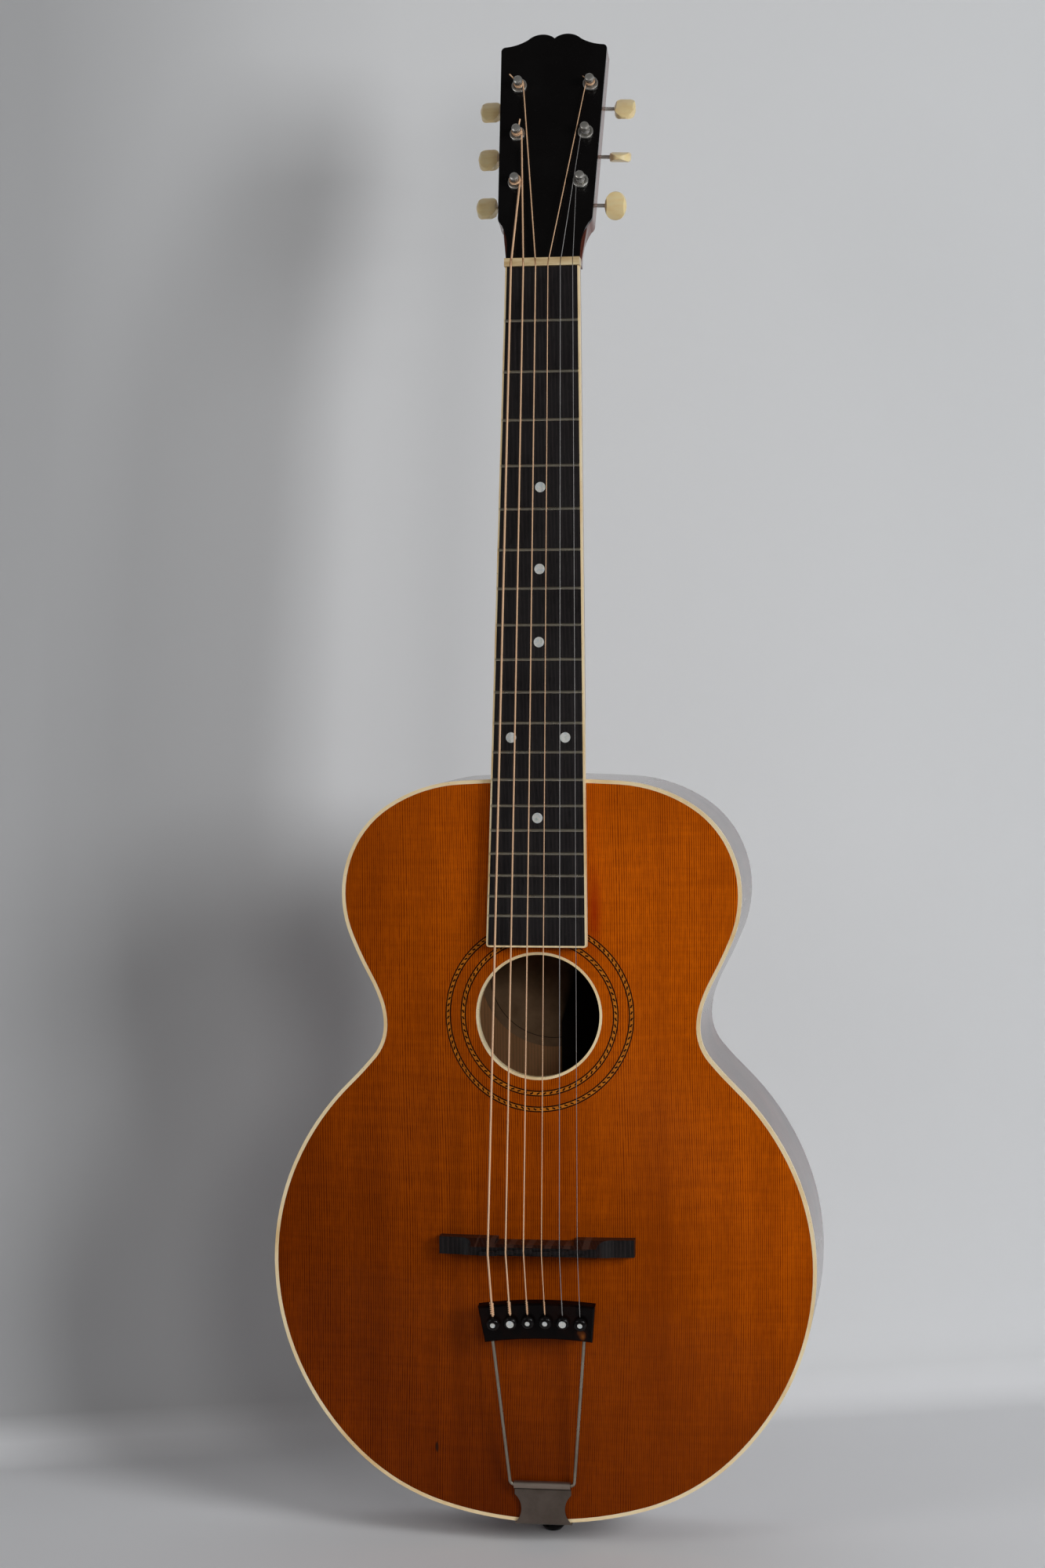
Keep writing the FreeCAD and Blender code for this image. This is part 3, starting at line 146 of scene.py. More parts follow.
def apart(tree, value, middle):
    # How far a value lies from a middle
    return sums(tree, "ABSOLUTE", sums(tree, "SUBTRACT", value, middle))


def objectPlace(tree):
    return addNode(tree, "ShaderNodeTexCoord").outputs["Object"]


def surfaceNormal(tree):
    return addNode(tree, "ShaderNodeTexCoord").outputs["Normal"]


def split(tree, vector):
    return addNode(tree, "ShaderNodeSeparateXYZ", {"Vector": vector}).outputs


def mapped(tree, vector, scale, place=(0.0, 0.0, 0.0), turn=(0.0, 0.0, 0.0)):
    return addNode(tree, "ShaderNodeMapping", {"Vector": vector, "Scale": scale, "Location": place,
                                               "Rotation": turn}).outputs[0]


def stretched(tree, scale, place=(0.0, 0.0, 0.0)):
    return mapped(tree, objectPlace(tree), scale, place)


def noise(tree, vector, scale=1.0, detail=2.0, rough=0.5):
    return addNode(tree, "ShaderNodeTexNoise", {"Vector": vector, "Scale": scale, "Detail": detail,
                                                "Roughness": rough}).outputs["Fac"]


def blot(tree, middle, size, soft=1.0):
    # A soft oval mark on the front, 1 at its middle
    offset = arrows(tree, "SUBTRACT", objectPlace(tree), middle)[0]
    shares = arrows(tree, "MULTIPLY", offset, [1 / part for part in size])[0]
    return spread(tree, arrows(tree, "LENGTH", shares)["Value"], 1.0, 1.0 - soft)


def flatOffset(tree, middle):
    # The way from a middle line that runs front to back
    offset = arrows(tree, "SUBTRACT", objectPlace(tree), middle)[0]
    return arrows(tree, "MULTIPLY", offset, (1.0, 0.0, 1.0))[0]


def newGroup(name, inputs, outputs):
    tree = bpy.data.node_groups.new(name, "ShaderNodeTree")
    for key, value in inputs.items():
        socket = tree.interface.new_socket(name=key, in_out="INPUT", socket_type="NodeSocketFloat")
        socket.default_value = value
    for key in outputs:
        tree.interface.new_socket(name=key, in_out="OUTPUT", socket_type="NodeSocketFloat")
    return tree, tree.nodes.new("NodeGroupInput"), tree.nodes.new("NodeGroupOutput")


# Grain and wear, as node groups

grain = {"sway": (5.0, 5.0, 1.8), "swayReach": 0.012, "depthShare": 0.35, "pace": (55.0, 0.0, 0.6),
         "paceReach": 0.006, "late": (0.50, 0.86), "ragged": (500.0, 60.0, 90.0),
         "raggedSpread": (0.28, 0.58, 0.35, 1.0), "bands": (60.0, 20.0, 1.2), "pores": (1700.0, 900.0, 60.0),
         "silk": (26.0, 26.0, 320.0)}
wear = {"specks": 900.0, "speckSpread": (0.70, 0.78), "film": 28.0, "filmSpread": (0.35, 0.70),
        "scratches": (900.0, 900.0, 30.0), "scratchTurn": (0.3, 0.8, 0.4), "scratchSpread": (0.66, 0.74)}


def makeGrainGroup():
    # Year lines, broad bands, pores and the silk across them, for wood that runs along Z
    tree, inside, outside = newGroup("woodFibres", {"Line Spacing": 0.0013, "Waviness": 1.0},
                                     ["Lines", "Bands", "Pores", "Silk"])
    place = objectPlace(tree)
    x, y, z = split(tree, place)[:3]
    sway = noise(tree, mapped(tree, place, grain["sway"]), detail=1.0)
    drift = sums(tree, "MULTIPLY", sums(tree, "SUBTRACT", sway, 0.5), inside.outputs["Waviness"])
    across = sums(tree, "ADD", x, sums(tree, "MULTIPLY", drift, grain["swayReach"]))
    across = sums(tree, "ADD", across, sums(tree, "MULTIPLY", y, grain["depthShare"]))
    fibre = addNode(tree, "ShaderNodeCombineXYZ", {"X": across, "Y": y, "Z": z}).outputs[0]

    def layer(scale, detail, rough=0.5):
        return noise(tree, mapped(tree, fibre, scale), detail=detail, rough=rough)
    pace = sums(tree, "SUBTRACT", layer(grain["pace"], 1.0), 0.5)
    pace = sums(tree, "MULTIPLY", pace, grain["paceReach"])
    years = sums(tree, "DIVIDE", sums(tree, "ADD", across, pace), inside.outputs["Line Spacing"])
    late = spread(tree, sums(tree, "FRACT", years), *grain["late"])
    ragged = spread(tree, layer(grain["ragged"], 2.0, 0.6), *grain["raggedSpread"])
    tree.links.new(sums(tree, "MULTIPLY", late, ragged), outside.inputs["Lines"])
    tree.links.new(layer(grain["bands"], 3.0), outside.inputs["Bands"])
    tree.links.new(layer(grain["pores"], 1.0, 0.6), outside.inputs["Pores"])
    tree.links.new(layer(grain["silk"], 3.0, 0.6), outside.inputs["Silk"])
    return tree


def makeWearGroup():
    # Specks, a dull film of age and fine scratches, as masks
    tree, inside, outside = newGroup("ageMarks", {"Size": 1.0}, ["Specks", "Film", "Scratches"])
    sized = addNode(tree, "ShaderNodeVectorMath", {0: objectPlace(tree)}, operation="SCALE")
    tree.links.new(inside.outputs["Size"], sized.inputs["Scale"])
    speck = noise(tree, sized.outputs[0], scale=wear["specks"], detail=1.0)
    tree.links.new(spread(tree, speck, *wear["speckSpread"]), outside.inputs["Specks"])
    film = noise(tree, sized.outputs[0], scale=wear["film"], detail=4.0, rough=0.6)
    tree.links.new(spread(tree, film, *wear["filmSpread"]), outside.inputs["Film"])
    scored = mapped(tree, sized.outputs[0], wear["scratches"], turn=wear["scratchTurn"])
    scratch = noise(tree, scored, detail=2.0)
    tree.links.new(spread(tree, scratch, *wear["scratchSpread"]), outside.inputs["Scratches"])
    return tree


grainGroup = makeGrainGroup()
wearGroup = makeWearGroup()


def placeGroup(tree, group, **values):
    node = addNode(tree, "ShaderNodeGroup", node_tree=group)
    for key, value in values.items():
        node.inputs[key.replace("_", " ")].default_value = value
    return node.outputs


def newMaterial(name, **plain):
    material = bpy.data.materials.new(name)
    material.use_nodes = True
    tree = material.node_tree
    shader = tree.nodes["Principled BSDF"]
    for key, value in plain.items():
        shader.inputs[key.replace("_", " ")].default_value = value
    return material, tree, shader


def connect(tree, shader, **outputs):
    for key, value in outputs.items():
        tree.links.new(value, shader.inputs[key.replace("_", " ")])


def bump(tree, height, strength, distance):
    return addNode(tree, "ShaderNodeBump", {"Height": height, "Strength": strength,
                                            "Distance": distance}).outputs[0]


def stain(tree, tone, mask, share, mark):
    # A darker or lighter mark laid over a tone where a mask shows it
    return blendTones(tree, sums(tree, "MULTIPLY", mask, share), tone, mark)


# The amber top

amber = {"early": (0.63, 0.119, 0.0010), "late": (0.20, 0.024, 0.0005), "red": (0.36, 0.020, 0.0012),
         "brown": (0.24, 0.037, 0.0007), "inner": (0.42, 0.27, 0.15), "lineSpacing": 0.00135,
         "waviness": 0.45, "bands": ((0.30, 0.70), (0.86, 0.82, 0.8), (1.08, 1.08, 1.0)),
         "silk": ((0.34, 0.68), (0.93, 0.91, 0.9), (1.08, 1.09, 1.05)),
         "clouds": ((7.0, 7.0, 4.0), (0.35, 0.0, 0.1)), "cloudSpread": (0.44, 0.70, 0.0, 0.65),
         "redPatch": ((0.0355, -0.05, 0.392), (0.0060, 0.1, 0.034)),
         "darkBand": ((-0.052, -0.05, 0.10), (0.010, 0.2, 0.30)),
         "knock": ((-0.0685, -0.05, 0.0475), (0.0012, 0.1, 0.0042), 0.4), "knockTone": (0.035, 0.012, 0.005),
         "joints": (-0.0385, 0.0015), "jointEdge": (0.0007, 0.0002), "speck": (0.07, 0.018, 0.003),
         "paintedShade": (0.34, 0.285, 0.27), "paintedShadeRise": 0.9, "paintedShadeSpread": (0.42, -0.02), "rough": (0.34, 0.50)}


def makeSpruce():
    material, tree, shader = newMaterial("amberSpruce", Specular_IOR_Level=0.03, Coat_Weight=0.06,
                                         Coat_Roughness=0.10, Coat_IOR=1.4)
    fibres = placeGroup(tree, grainGroup, Line_Spacing=amber["lineSpacing"], Waviness=amber["waviness"])
    marks = placeGroup(tree, wearGroup, Size=1.0)
    x, y, z = split(tree, objectPlace(tree))[:3]
    tone = blendTones(tree, fibres["Lines"], amber["early"], amber["late"])
    for source, look in ((fibres["Bands"], amber["bands"]), (fibres["Silk"], amber["silk"])):
        reach, dark, light = look
        varied = blendTones(tree, spread(tree, source, *reach), dark, light)
        tone = blendTones(tree, 1.0, tone, varied, "MULTIPLY")
    cloud = noise(tree, stretched(tree, *amber["clouds"]), detail=3.0)
    tone = blendTones(tree, spread(tree, cloud, *amber["cloudSpread"]), tone, amber["brown"])
    tone = stain(tree, tone, blot(tree, *amber["redPatch"]), 0.8, amber["red"])
    tone = stain(tree, tone, blot(tree, *amber["darkBand"]), 0.30, amber["brown"])
    for joint in amber["joints"]:   # the joints between the boards of the top
        line = spread(tree, apart(tree, x, joint), *amber["jointEdge"])
        tone = stain(tree, tone, line, 0.30, amber["late"])
    # Painted shade: the top is darkened towards its lower left, where less light falls on it
    shadeSlope = sums(tree, "ADD", x, sums(tree, "MULTIPLY", z, amber["paintedShadeRise"]))
    darker = blendTones(tree, 1.0, tone, amber["paintedShade"], "MULTIPLY")
    tone = blendTones(tree, spread(tree, shadeSlope, *amber["paintedShadeSpread"]), tone, darker)
    tone = stain(tree, tone, marks["Specks"], 0.35, amber["speck"])
    tone = blendTones(tree, blot(tree, *amber["knock"]), tone, amber["knockTone"])
    under = sums(tree, "GREATER_THAN", split(tree, surfaceNormal(tree))[1], 0.3)
    tone = blendTones(tree, under, tone, amber["inner"])
    connect(tree, shader, Base_Color=tone, Roughness=spread(tree, marks["Film"], 0.0, 1.0, *amber["rough"]),
            Normal=bump(tree, fibres["Lines"], 0.12, 0.0003))
    return material


# Maple ribs and back: stained and glossy outside, bare wood inside

maple = {"tones": [(0.25, (0.040, 0.0095, 0.007)), (0.60, (0.095, 0.024, 0.016)),
                   (0.85, (0.150, 0.043, 0.026))],
         "flame": ((9.0, 9.0, 70.0), (0.40, 0.66, 0.0, 0.45), (0.150, 0.043, 0.026)),
         "pores": ((0.60, 0.72), 0.6, (0.020, 0.006, 0.005)), "lineSpacing": 0.0022, "waviness": 2.0,
         "inner": (0.86, 0.43, 0.19), "lateShare": 0.72, "middle": (0.0, 0.0, 0.24), "rough": (0.29, 0.32),
         "spots": ((14.0, 14.0, 14.0), (0.45, 0.75, 0.0, 0.5), (0.36, 0.22, 0.12)), "coat": 0.8}
# The painted shadow inside the body: the line where it starts, how its edge softens up the body, and its tone
paintedShade = {"paintedShadeLine": -0.0015, "edge": (0.31, 0.37, 0.002, 0.020), "tone": (0.016, 0.010, 0.007)}


def paintedShadowHalf(tree):
    # Painted shadow over the treble half of the inside, where the top keeps the light from the back and the
    # label
    x, y, z = split(tree, objectPlace(tree))[:3]
    return sums(tree, "DIVIDE", sums(tree, "SUBTRACT", x, paintedShade["paintedShadeLine"]), spread(tree, z, *paintedShade["edge"]))


def makeMaple():
    material, tree, shader = newMaterial("stainedMaple", Coat_Roughness=0.10, Coat_IOR=1.45,
                                         Specular_IOR_Level=0.2)
    fibres = placeGroup(tree, grainGroup, Line_Spacing=maple["lineSpacing"], Waviness=maple["waviness"])
    marks = placeGroup(tree, wearGroup, Size=1.0)
    tone = ramp(tree, fibres["Bands"], maple["tones"])
    scale, reach, mark = maple["flame"]
    flame = noise(tree, stretched(tree, scale), detail=2.0)
    tone = blendTones(tree, spread(tree, flame, *reach), tone, mark)
    reach, share, mark = maple["pores"]
    tone = stain(tree, tone, spread(tree, fibres["Pores"], *reach), share, mark)
    normal = surfaceNormal(tree)
    outward = arrows(tree, "DOT_PRODUCT", normal, flatOffset(tree, maple["middle"]))["Value"]
    facing = split(tree, normal)[1]
    side = sums(tree, "MULTIPLY", sums(tree, "LESS_THAN", outward, 0.0),
                sums(tree, "LESS_THAN", sums(tree, "ABSOLUTE", facing), 0.5))
    inner = sums(tree, "MAXIMUM", side, sums(tree, "LESS_THAN", facing, -0.5))
    late = [part * maple["lateShare"] for part in maple["inner"]]
    bare = blendTones(tree, fibres["Lines"], maple["inner"], late)
    scale, reach, mark = maple["spots"]
    bare = blendTones(tree, spread(tree, noise(tree, stretched(tree, scale), detail=4.0), *reach), bare, mark)
    # Painted shadow over the treble half of the bare inside
    bare = blendTones(tree, paintedShadowHalf(tree), bare, paintedShade["tone"])
    rough = spread(tree, marks["Film"], 0.0, 1.0, *maple["rough"])
    coat = maple["coat"]
    connect(tree, shader, Base_Color=blendTones(tree, inner, tone, bare),
            Roughness=sums(tree, "MAXIMUM", rough, sums(tree, "MULTIPLY", inner, 0.8)),
            Coat_Weight=sums(tree, "SUBTRACT", coat, sums(tree, "MULTIPLY", inner, coat)))
    return material


# Neck, linings and blocks

neckWood = {"tones": [(0.25, (0.085, 0.017, 0.011)), (0.75, (0.185, 0.048, 0.028))], "lineSpacing": 0.0030,
            "waviness": 1.4, "pores": ((0.58, 0.70), 0.7, (0.022, 0.007, 0.005)), "worn": (0.21, 0.07, 0.035)}
bareWood = {"early": (0.44, 0.30, 0.17), "late": (0.27, 0.17, 0.09), "lineSpacing": 0.0018,
            "dust": (0.20, 0.13, 0.08)}


def makeNeckWood():
    material, tree, shader = newMaterial("neckMahogany", Roughness=0.30, Coat_Weight=0.7, Coat_Roughness=0.14)
    fibres = placeGroup(tree, grainGroup, Line_Spacing=neckWood["lineSpacing"], Waviness=neckWood["waviness"])
    reach, share, mark = neckWood["pores"]
    tone = stain(tree, ramp(tree, fibres["Bands"], neckWood["tones"]), spread(tree, fibres["Pores"], *reach),
                 share, mark)
    marks = placeGroup(tree, wearGroup, Size=0.8)
    tone = stain(tree, tone, marks["Film"], 0.25, neckWood["worn"])
    connect(tree, shader, Base_Color=tone, Normal=bump(tree, fibres["Pores"], 0.10, 0.0003))
    return material


def makePaleWood():
    material, tree, shader = newMaterial("bareWood", Roughness=0.72)
    fibres = placeGroup(tree, grainGroup, Line_Spacing=bareWood["lineSpacing"], Waviness=1.0)
    marks = placeGroup(tree, wearGroup, Size=1.0)
    tone = blendTones(tree, fibres["Lines"], bareWood["early"], bareWood["late"])
    connect(tree, shader, Base_Color=stain(tree, tone, marks["Film"], 0.35, bareWood["dust"]),
            Normal=bump(tree, fibres["Lines"], 0.15, 0.0005))
    return material


# Fingerboard and bridge

ebony = {"ebonyBoard": {"light": (0.019, 0.0145, 0.0150), "dark": (0.010, 0.0080, 0.0085)},
         "ebonyBridge": {"light": (0.022, 0.016, 0.016), "dark": (0.008, 0.006, 0.006)},
         "lineSpacing": 0.0026, "waviness": 0.5, "pores": ((0.56, 0.70), 0.8, (0.003, 0.0024, 0.0024)),
         "speck": (0.07, 0.064, 0.06), "rough": (0.32, 0.52)}
notches = {"first": -0.0283, "pitch": 0.01185, "share": 0.36, "reach": 0.037, "upward": 0.2,
           "tone": (0.060, 0.036, 0.028)}


def filedNotches(tree):
    # The small facets filed beside each string on the bridge's top
    x = split(tree, objectPlace(tree))[0]
    pace = sums(tree, "DIVIDE", sums(tree, "SUBTRACT", x, notches["first"]), notches["pitch"])
    window = sums(tree, "LESS_THAN", sums(tree, "FRACT", pace), notches["share"])
    near = sums(tree, "LESS_THAN", sums(tree, "ABSOLUTE", x), notches["reach"])
    upward = sums(tree, "GREATER_THAN", split(tree, surfaceNormal(tree))[2], notches["upward"])
    return sums(tree, "MULTIPLY", sums(tree, "MULTIPLY", window, near), upward)


def makeEbony(name):
    material, tree, shader = newMaterial(name, Specular_IOR_Level=0.22, Coat_Weight=0.1, Coat_Roughness=0.2)
    fibres = placeGroup(tree, grainGroup, Line_Spacing=ebony["lineSpacing"], Waviness=ebony["waviness"])
    marks = placeGroup(tree, wearGroup, Size=1.4)
    tone = blendTones(tree, fibres["Lines"], ebony[name]["dark"], ebony[name]["light"])
    reach, share, mark = ebony["pores"]
    tone = stain(tree, tone, spread(tree, fibres["Pores"], *reach), share, mark)
    tone = stain(tree, tone, marks["Specks"], 0.25, ebony["speck"])
    if name == "ebonyBridge":
        tone = stain(tree, tone, filedNotches(tree), 0.8, notches["tone"])
    connect(tree, shader, Base_Color=tone, Roughness=spread(tree, marks["Film"], 0.0, 1.0, *ebony["rough"]),
            Normal=bump(tree, fibres["Pores"], 0.25, 0.0004))
    return material


# The headstock's black face and the black pins

blackFace = {"tone": (0.0028, 0.0022, 0.0022), "scratch": (0.026, 0.022, 0.020), "rough": (0.20, 0.36)}
blackPins = {"tone": (0.006, 0.005, 0.005), "scratch": (0.04, 0.032, 0.028)}


def makeVeneer():
    material, tree, shader = newMaterial("blackFace", Specular_IOR_Level=0.25, Coat_Weight=0.35,
                                         Coat_Roughness=0.06)
    marks = placeGroup(tree, wearGroup, Size=1.2)
    tone = stain(tree, blackFace["tone"], marks["Scratches"], 0.18, blackFace["scratch"])
    connect(tree, shader, Base_Color=tone,
            Roughness=spread(tree, marks["Film"], 0.0, 1.0, *blackFace["rough"]))
    return material


def makeBlackPin():
    material, tree, shader = newMaterial("blackPin", Roughness=0.20, Specular_IOR_Level=0.12,
                                         Coat_Weight=0.06, Coat_Roughness=0.06)
    marks = placeGroup(tree, wearGroup, Size=2.0)
    tone = blendTones(tree, marks["Scratches"], blackPins["tone"], blackPins["scratch"])
    connect(tree, shader, Base_Color=tone)
    return material


# Bindings, pearl, buttons, nut and the marbled block: all are clouds of a few tones

clouds = {"creamBinding": {"plain": {"Roughness": 0.36, "Specular_IOR_Level": 0.25, "Coat_Weight": 0.1,
                                     "Coat_Roughness": 0.2, "Subsurface_Weight": 0.05,
                                     "Subsurface_Radius": (0.002, 0.0015, 0.0008)},
                           "scale": (30.0, 30.0, 30.0), "detail": 4.0,
                           "specks": (1.0, 0.5, (0.16, 0.09, 0.04)),
                           "tones": [(0.30, (0.84, 0.58, 0.28)), (0.50, (0.98, 0.76, 0.45)),
                                     (0.75, (1.0, 0.84, 0.56))]},
          "ivoryButton": {"plain": {"Roughness": 0.34, "Coat_Weight": 0.25, "Coat_Roughness": 0.2,
                                    "Subsurface_Weight": 0.1, "Subsurface_Radius": (0.003, 0.002, 0.001)},
                          "scale": (90.0, 90.0, 260.0), "detail": 3.0,
                          "specks": (2.0, 0.30, (0.30, 0.17, 0.06)),
                          "tones": [(0.25, (0.90, 0.65, 0.29)), (0.50, (1.0, 0.78, 0.41)),
                                    (0.80, (1.0, 0.84, 0.50))]},
          "boneNut": {"plain": {"Roughness": 0.42, "Coat_Weight": 0.2}, "scale": (60.0, 400.0, 400.0),
                      "detail": 3.0, "tones": [(0.3, (0.52, 0.34, 0.15)), (0.6, (0.74, 0.56, 0.31)),
                                               (0.8, (0.82, 0.68, 0.42))]},
          "pearl": {"plain": {"Roughness": 0.22, "Specular_IOR_Level": 0.3, "Coat_Weight": 0.2,
                              "Coat_Roughness": 0.08}, "scale": (300.0, 300.0, 300.0), "detail": 3.0,
                    "tones": [(0.30, (0.46, 0.55, 0.52)), (0.48, (0.76, 0.74, 0.70)),
                              (0.60, (0.58, 0.64, 0.66)), (0.75, (0.82, 0.76, 0.70))]},
          "tortoisePlastic": {"plain": {"Roughness": 0.14, "Specular_IOR_Level": 0.06, "Coat_Weight": 0.02,
                                        "Coat_Roughness": 0.06}, "scale": (46.0, 46.0, 34.0), "detail": 3.0,
                              "rough": 0.55, "spot": ((0.0305, -0.085, 0.1285), (0.0065, 0.05, 0.0085)),
                              "tones": [(0.50, (0.0032, 0.0020, 0.0020)), (0.66, (0.010, 0.0034, 0.0022)),
                                        (0.76, (0.13, 0.034, 0.006)), (0.88, (0.42, 0.15, 0.02))]}}


def makeClouded(name):
    look = clouds[name]
    material, tree, shader = newMaterial(name, **look["plain"])
    cloud = noise(tree, stretched(tree, look["scale"]), detail=look["detail"], rough=look.get("rough", 0.5))
    if "spot" in look:
        cloud = sums(tree, "ADD", cloud, sums(tree, "MULTIPLY", blot(tree, *look["spot"]), 0.40))
    tone = ramp(tree, cloud, look["tones"])
    if "specks" in look:
        size, share, mark = look["specks"]
        tone = stain(tree, tone, placeGroup(tree, wearGroup, Size=size)["Specks"], share, mark)
    connect(tree, shader, Base_Color=tone)
    return material


# Two ropes of slanted gold strands between dark borders, round the soundhole

rosette = {"middle": (0.0, 0.3268), "width": 0.0036, "border": 0.00080, "lozenge": (0.28, 1.02),
           "ropes": [{"outer": 0.0507, "strands": 74.0, "lean": -210.0},
                     {"outer": 0.0606, "strands": 92.0, "lean": 210.0}],
           "edge": (0.86, 1.02), "gold": [(0.3, (0.40, 0.100, 0.006)), (0.7, (0.66, 0.20, 0.014))],
           "dark": (0.010, 0.004, 0.002), "fibres": (400.0, 200.0, 400.0)}


def makeRosette():
    material, tree, shader = newMaterial("ropeRings", Roughness=0.38, Specular_IOR_Level=0.05,
                                         Coat_Weight=0.05, Coat_Roughness=0.12)
    place = split(tree, objectPlace(tree))
    x = sums(tree, "SUBTRACT", place[0], rosette["middle"][0])
    z = sums(tree, "SUBTRACT", place[2], rosette["middle"][1])
    reach = sums(tree, "SQRT", sums(tree, "ADD", sums(tree, "MULTIPLY", x, x), sums(tree, "MULTIPLY", z, z)))
    angle = sums(tree, "DIVIDE", sums(tree, "ARCTAN2", z, x), 2 * pi)
    gilded = 0.0
    for rope in rosette["ropes"]:
        offset = sums(tree, "SUBTRACT", rope["outer"] - rosette["width"] / 2, reach)
        phase = sums(tree, "ADD", sums(tree, "MULTIPLY", angle, rope["strands"]),
                     sums(tree, "MULTIPLY", offset, rope["lean"]))
        turn = apart(tree, sums(tree, "FRACT", phase), 0.5)
        half = rosette["width"] / 2 - rosette["border"]
        across = sums(tree, "DIVIDE", sums(tree, "ABSOLUTE", offset), half)
        lozenge = sums(tree, "ADD", sums(tree, "DIVIDE", turn, rosette["lozenge"][0]),
                       sums(tree, "DIVIDE", across, rosette["lozenge"][1]))
        strand = sums(tree, "MULTIPLY", spread(tree, lozenge, *rosette["edge"]),
                      sums(tree, "LESS_THAN", across, 1.0))
        gilded = sums(tree, "MAXIMUM", gilded, strand)
    gold = ramp(tree, noise(tree, stretched(tree, rosette["fibres"]), detail=3.0), rosette["gold"])
    connect(tree, shader, Base_Color=blendTones(tree, gilded, rosette["dark"], gold))
    return material


# Metals and strings

metals = {"agedNickel": {"tone": (0.72, 0.70, 0.66), "dull": (0.40, 0.37, 0.33), "rough": 0.22, "share": 0.8},
          "warmWire": {"tone": (0.40, 0.36, 0.29), "dull": (0.24, 0.20, 0.15), "rough": 0.24},
          "agedBrass": {"tone": (0.60, 0.43, 0.17), "dull": (0.30, 0.20, 0.08), "rough": 0.28},
          "dullNickel": {"tone": (0.19, 0.155, 0.13), "dull": (0.11, 0.088, 0.072), "rough": 0.36,
                         # The height and width of the bracket's painted highlight and painted shade line
                         "paintedShadeLine": (0.0230, 0.0010)},
          "plainSteel": {"tone": (0.46, 0.44, 0.43), "dull": (0.36, 0.345, 0.34), "rough": 0.42,
                         "share": 0.5},
          "fretWire": {"tone": (0.60, 0.55, 0.44), "dull": (0.36, 0.32, 0.24), "rough": 0.26}}
winding = {"pace": 780.0, "tones": [(0.10, (0.80, 0.38, 0.18)), (0.40, (1.0, 0.62, 0.36)),
                                    (1.0, (1.0, 0.74, 0.50))]}


def makeMetal(name):
    look = metals[name]
    dull = look["dull"]
    material, tree, shader = newMaterial(name, Metallic=look.get("share", 1.0))
    marks = placeGroup(tree, wearGroup, Size=1.6)
    colour = stain(tree, look["tone"], marks["Film"], 0.75, dull)
    colour = stain(tree, colour, marks["Specks"], 0.5, [part * 0.35 for part in dull])
    if "paintedShadeLine" in look:   # a painted highlight on the roll of a bracket's edge, and a painted shade line under it, at a height
        paintedShadeLine, width = look["paintedShadeLine"]
        height = split(tree, objectPlace(tree))[2]
        # Painted highlight: the roll above the line is lighter, as if it catches the light
        colour = stain(tree, colour, sums(tree, "GREATER_THAN", height, paintedShadeLine), 0.6,
                       [part * 2.4 for part in look["tone"]])
        # Painted shade: a dark line just under the roll
        colour = blendTones(tree, spread(tree, apart(tree, height, paintedShadeLine), width, width / 2), colour,
                            [part * 0.1 for part in dull])
    rough = spread(tree, marks["Film"], 0.0, 1.0, look["rough"], look["rough"] + 0.18)
    rough = sums(tree, "ADD", rough, sums(tree, "MULTIPLY", marks["Scratches"], 0.12))
    connect(tree, shader, Base_Color=colour, Roughness=rough,
            Normal=bump(tree, marks["Scratches"], 0.06, 0.0002))
    return material


def makeWoundString():
    # Fine turns of bronze, as bump and as painted shade in the darker line between turns
    material, tree, shader = newMaterial("woundString", Metallic=0.1, Roughness=0.36)
    height = addNode(tree, "ShaderNodeTexWave", {"Vector": objectPlace(tree), "Scale": winding["pace"],
                                                 "Distortion": 0.0},
                     wave_type="BANDS", bands_direction="Z").outputs["Fac"]
    connect(tree, shader, Base_Color=ramp(tree, height, winding["tones"]),
            Normal=bump(tree, height, 0.4, 0.0001))
    return material


# The paper inside the body

paper = {"middle": (-0.0054, 0.0, 0.3411), "start": 0.020, "radius": 0.0475, "corners": 72, "rings": 7,
         "glue": 0.0003, "thick": 0.00018, "ring": 0.0415, "ringWidth": 0.00055, "tone": (0.52, 0.32, 0.18),
         "aged": (0.32, 0.19, 0.10), "ink": (0.05, 0.035, 0.025), "clouds": (55.0, 55.0, 55.0),
         "cloudSpread": (0.35, 0.70)}


def makePaper():
    material, tree, shader = newMaterial("agedPaper", Roughness=0.8, Specular_IOR_Level=0.2)
    cloud = noise(tree, stretched(tree, paper["clouds"]), detail=4.0, rough=0.6)
    tone = blendTones(tree, spread(tree, cloud, *paper["cloudSpread"]), paper["tone"], paper["aged"])
    reach = arrows(tree, "LENGTH", flatOffset(tree, paper["middle"]))["Value"]
    ring = sums(tree, "LESS_THAN", apart(tree, reach, paper["ring"]), paper["ringWidth"] / 2)
    tone = stain(tree, tone, ring, 0.85, paper["ink"])
    # Painted shadow over the treble half of the label
    tone = blendTones(tree, paintedShadowHalf(tree), tone, paintedShade["tone"])
    connect(tree, shader, Base_Color=tone, Normal=bump(tree, cloud, 0.2, 0.0002))
    return material


# Every piece of the frame gets its finish

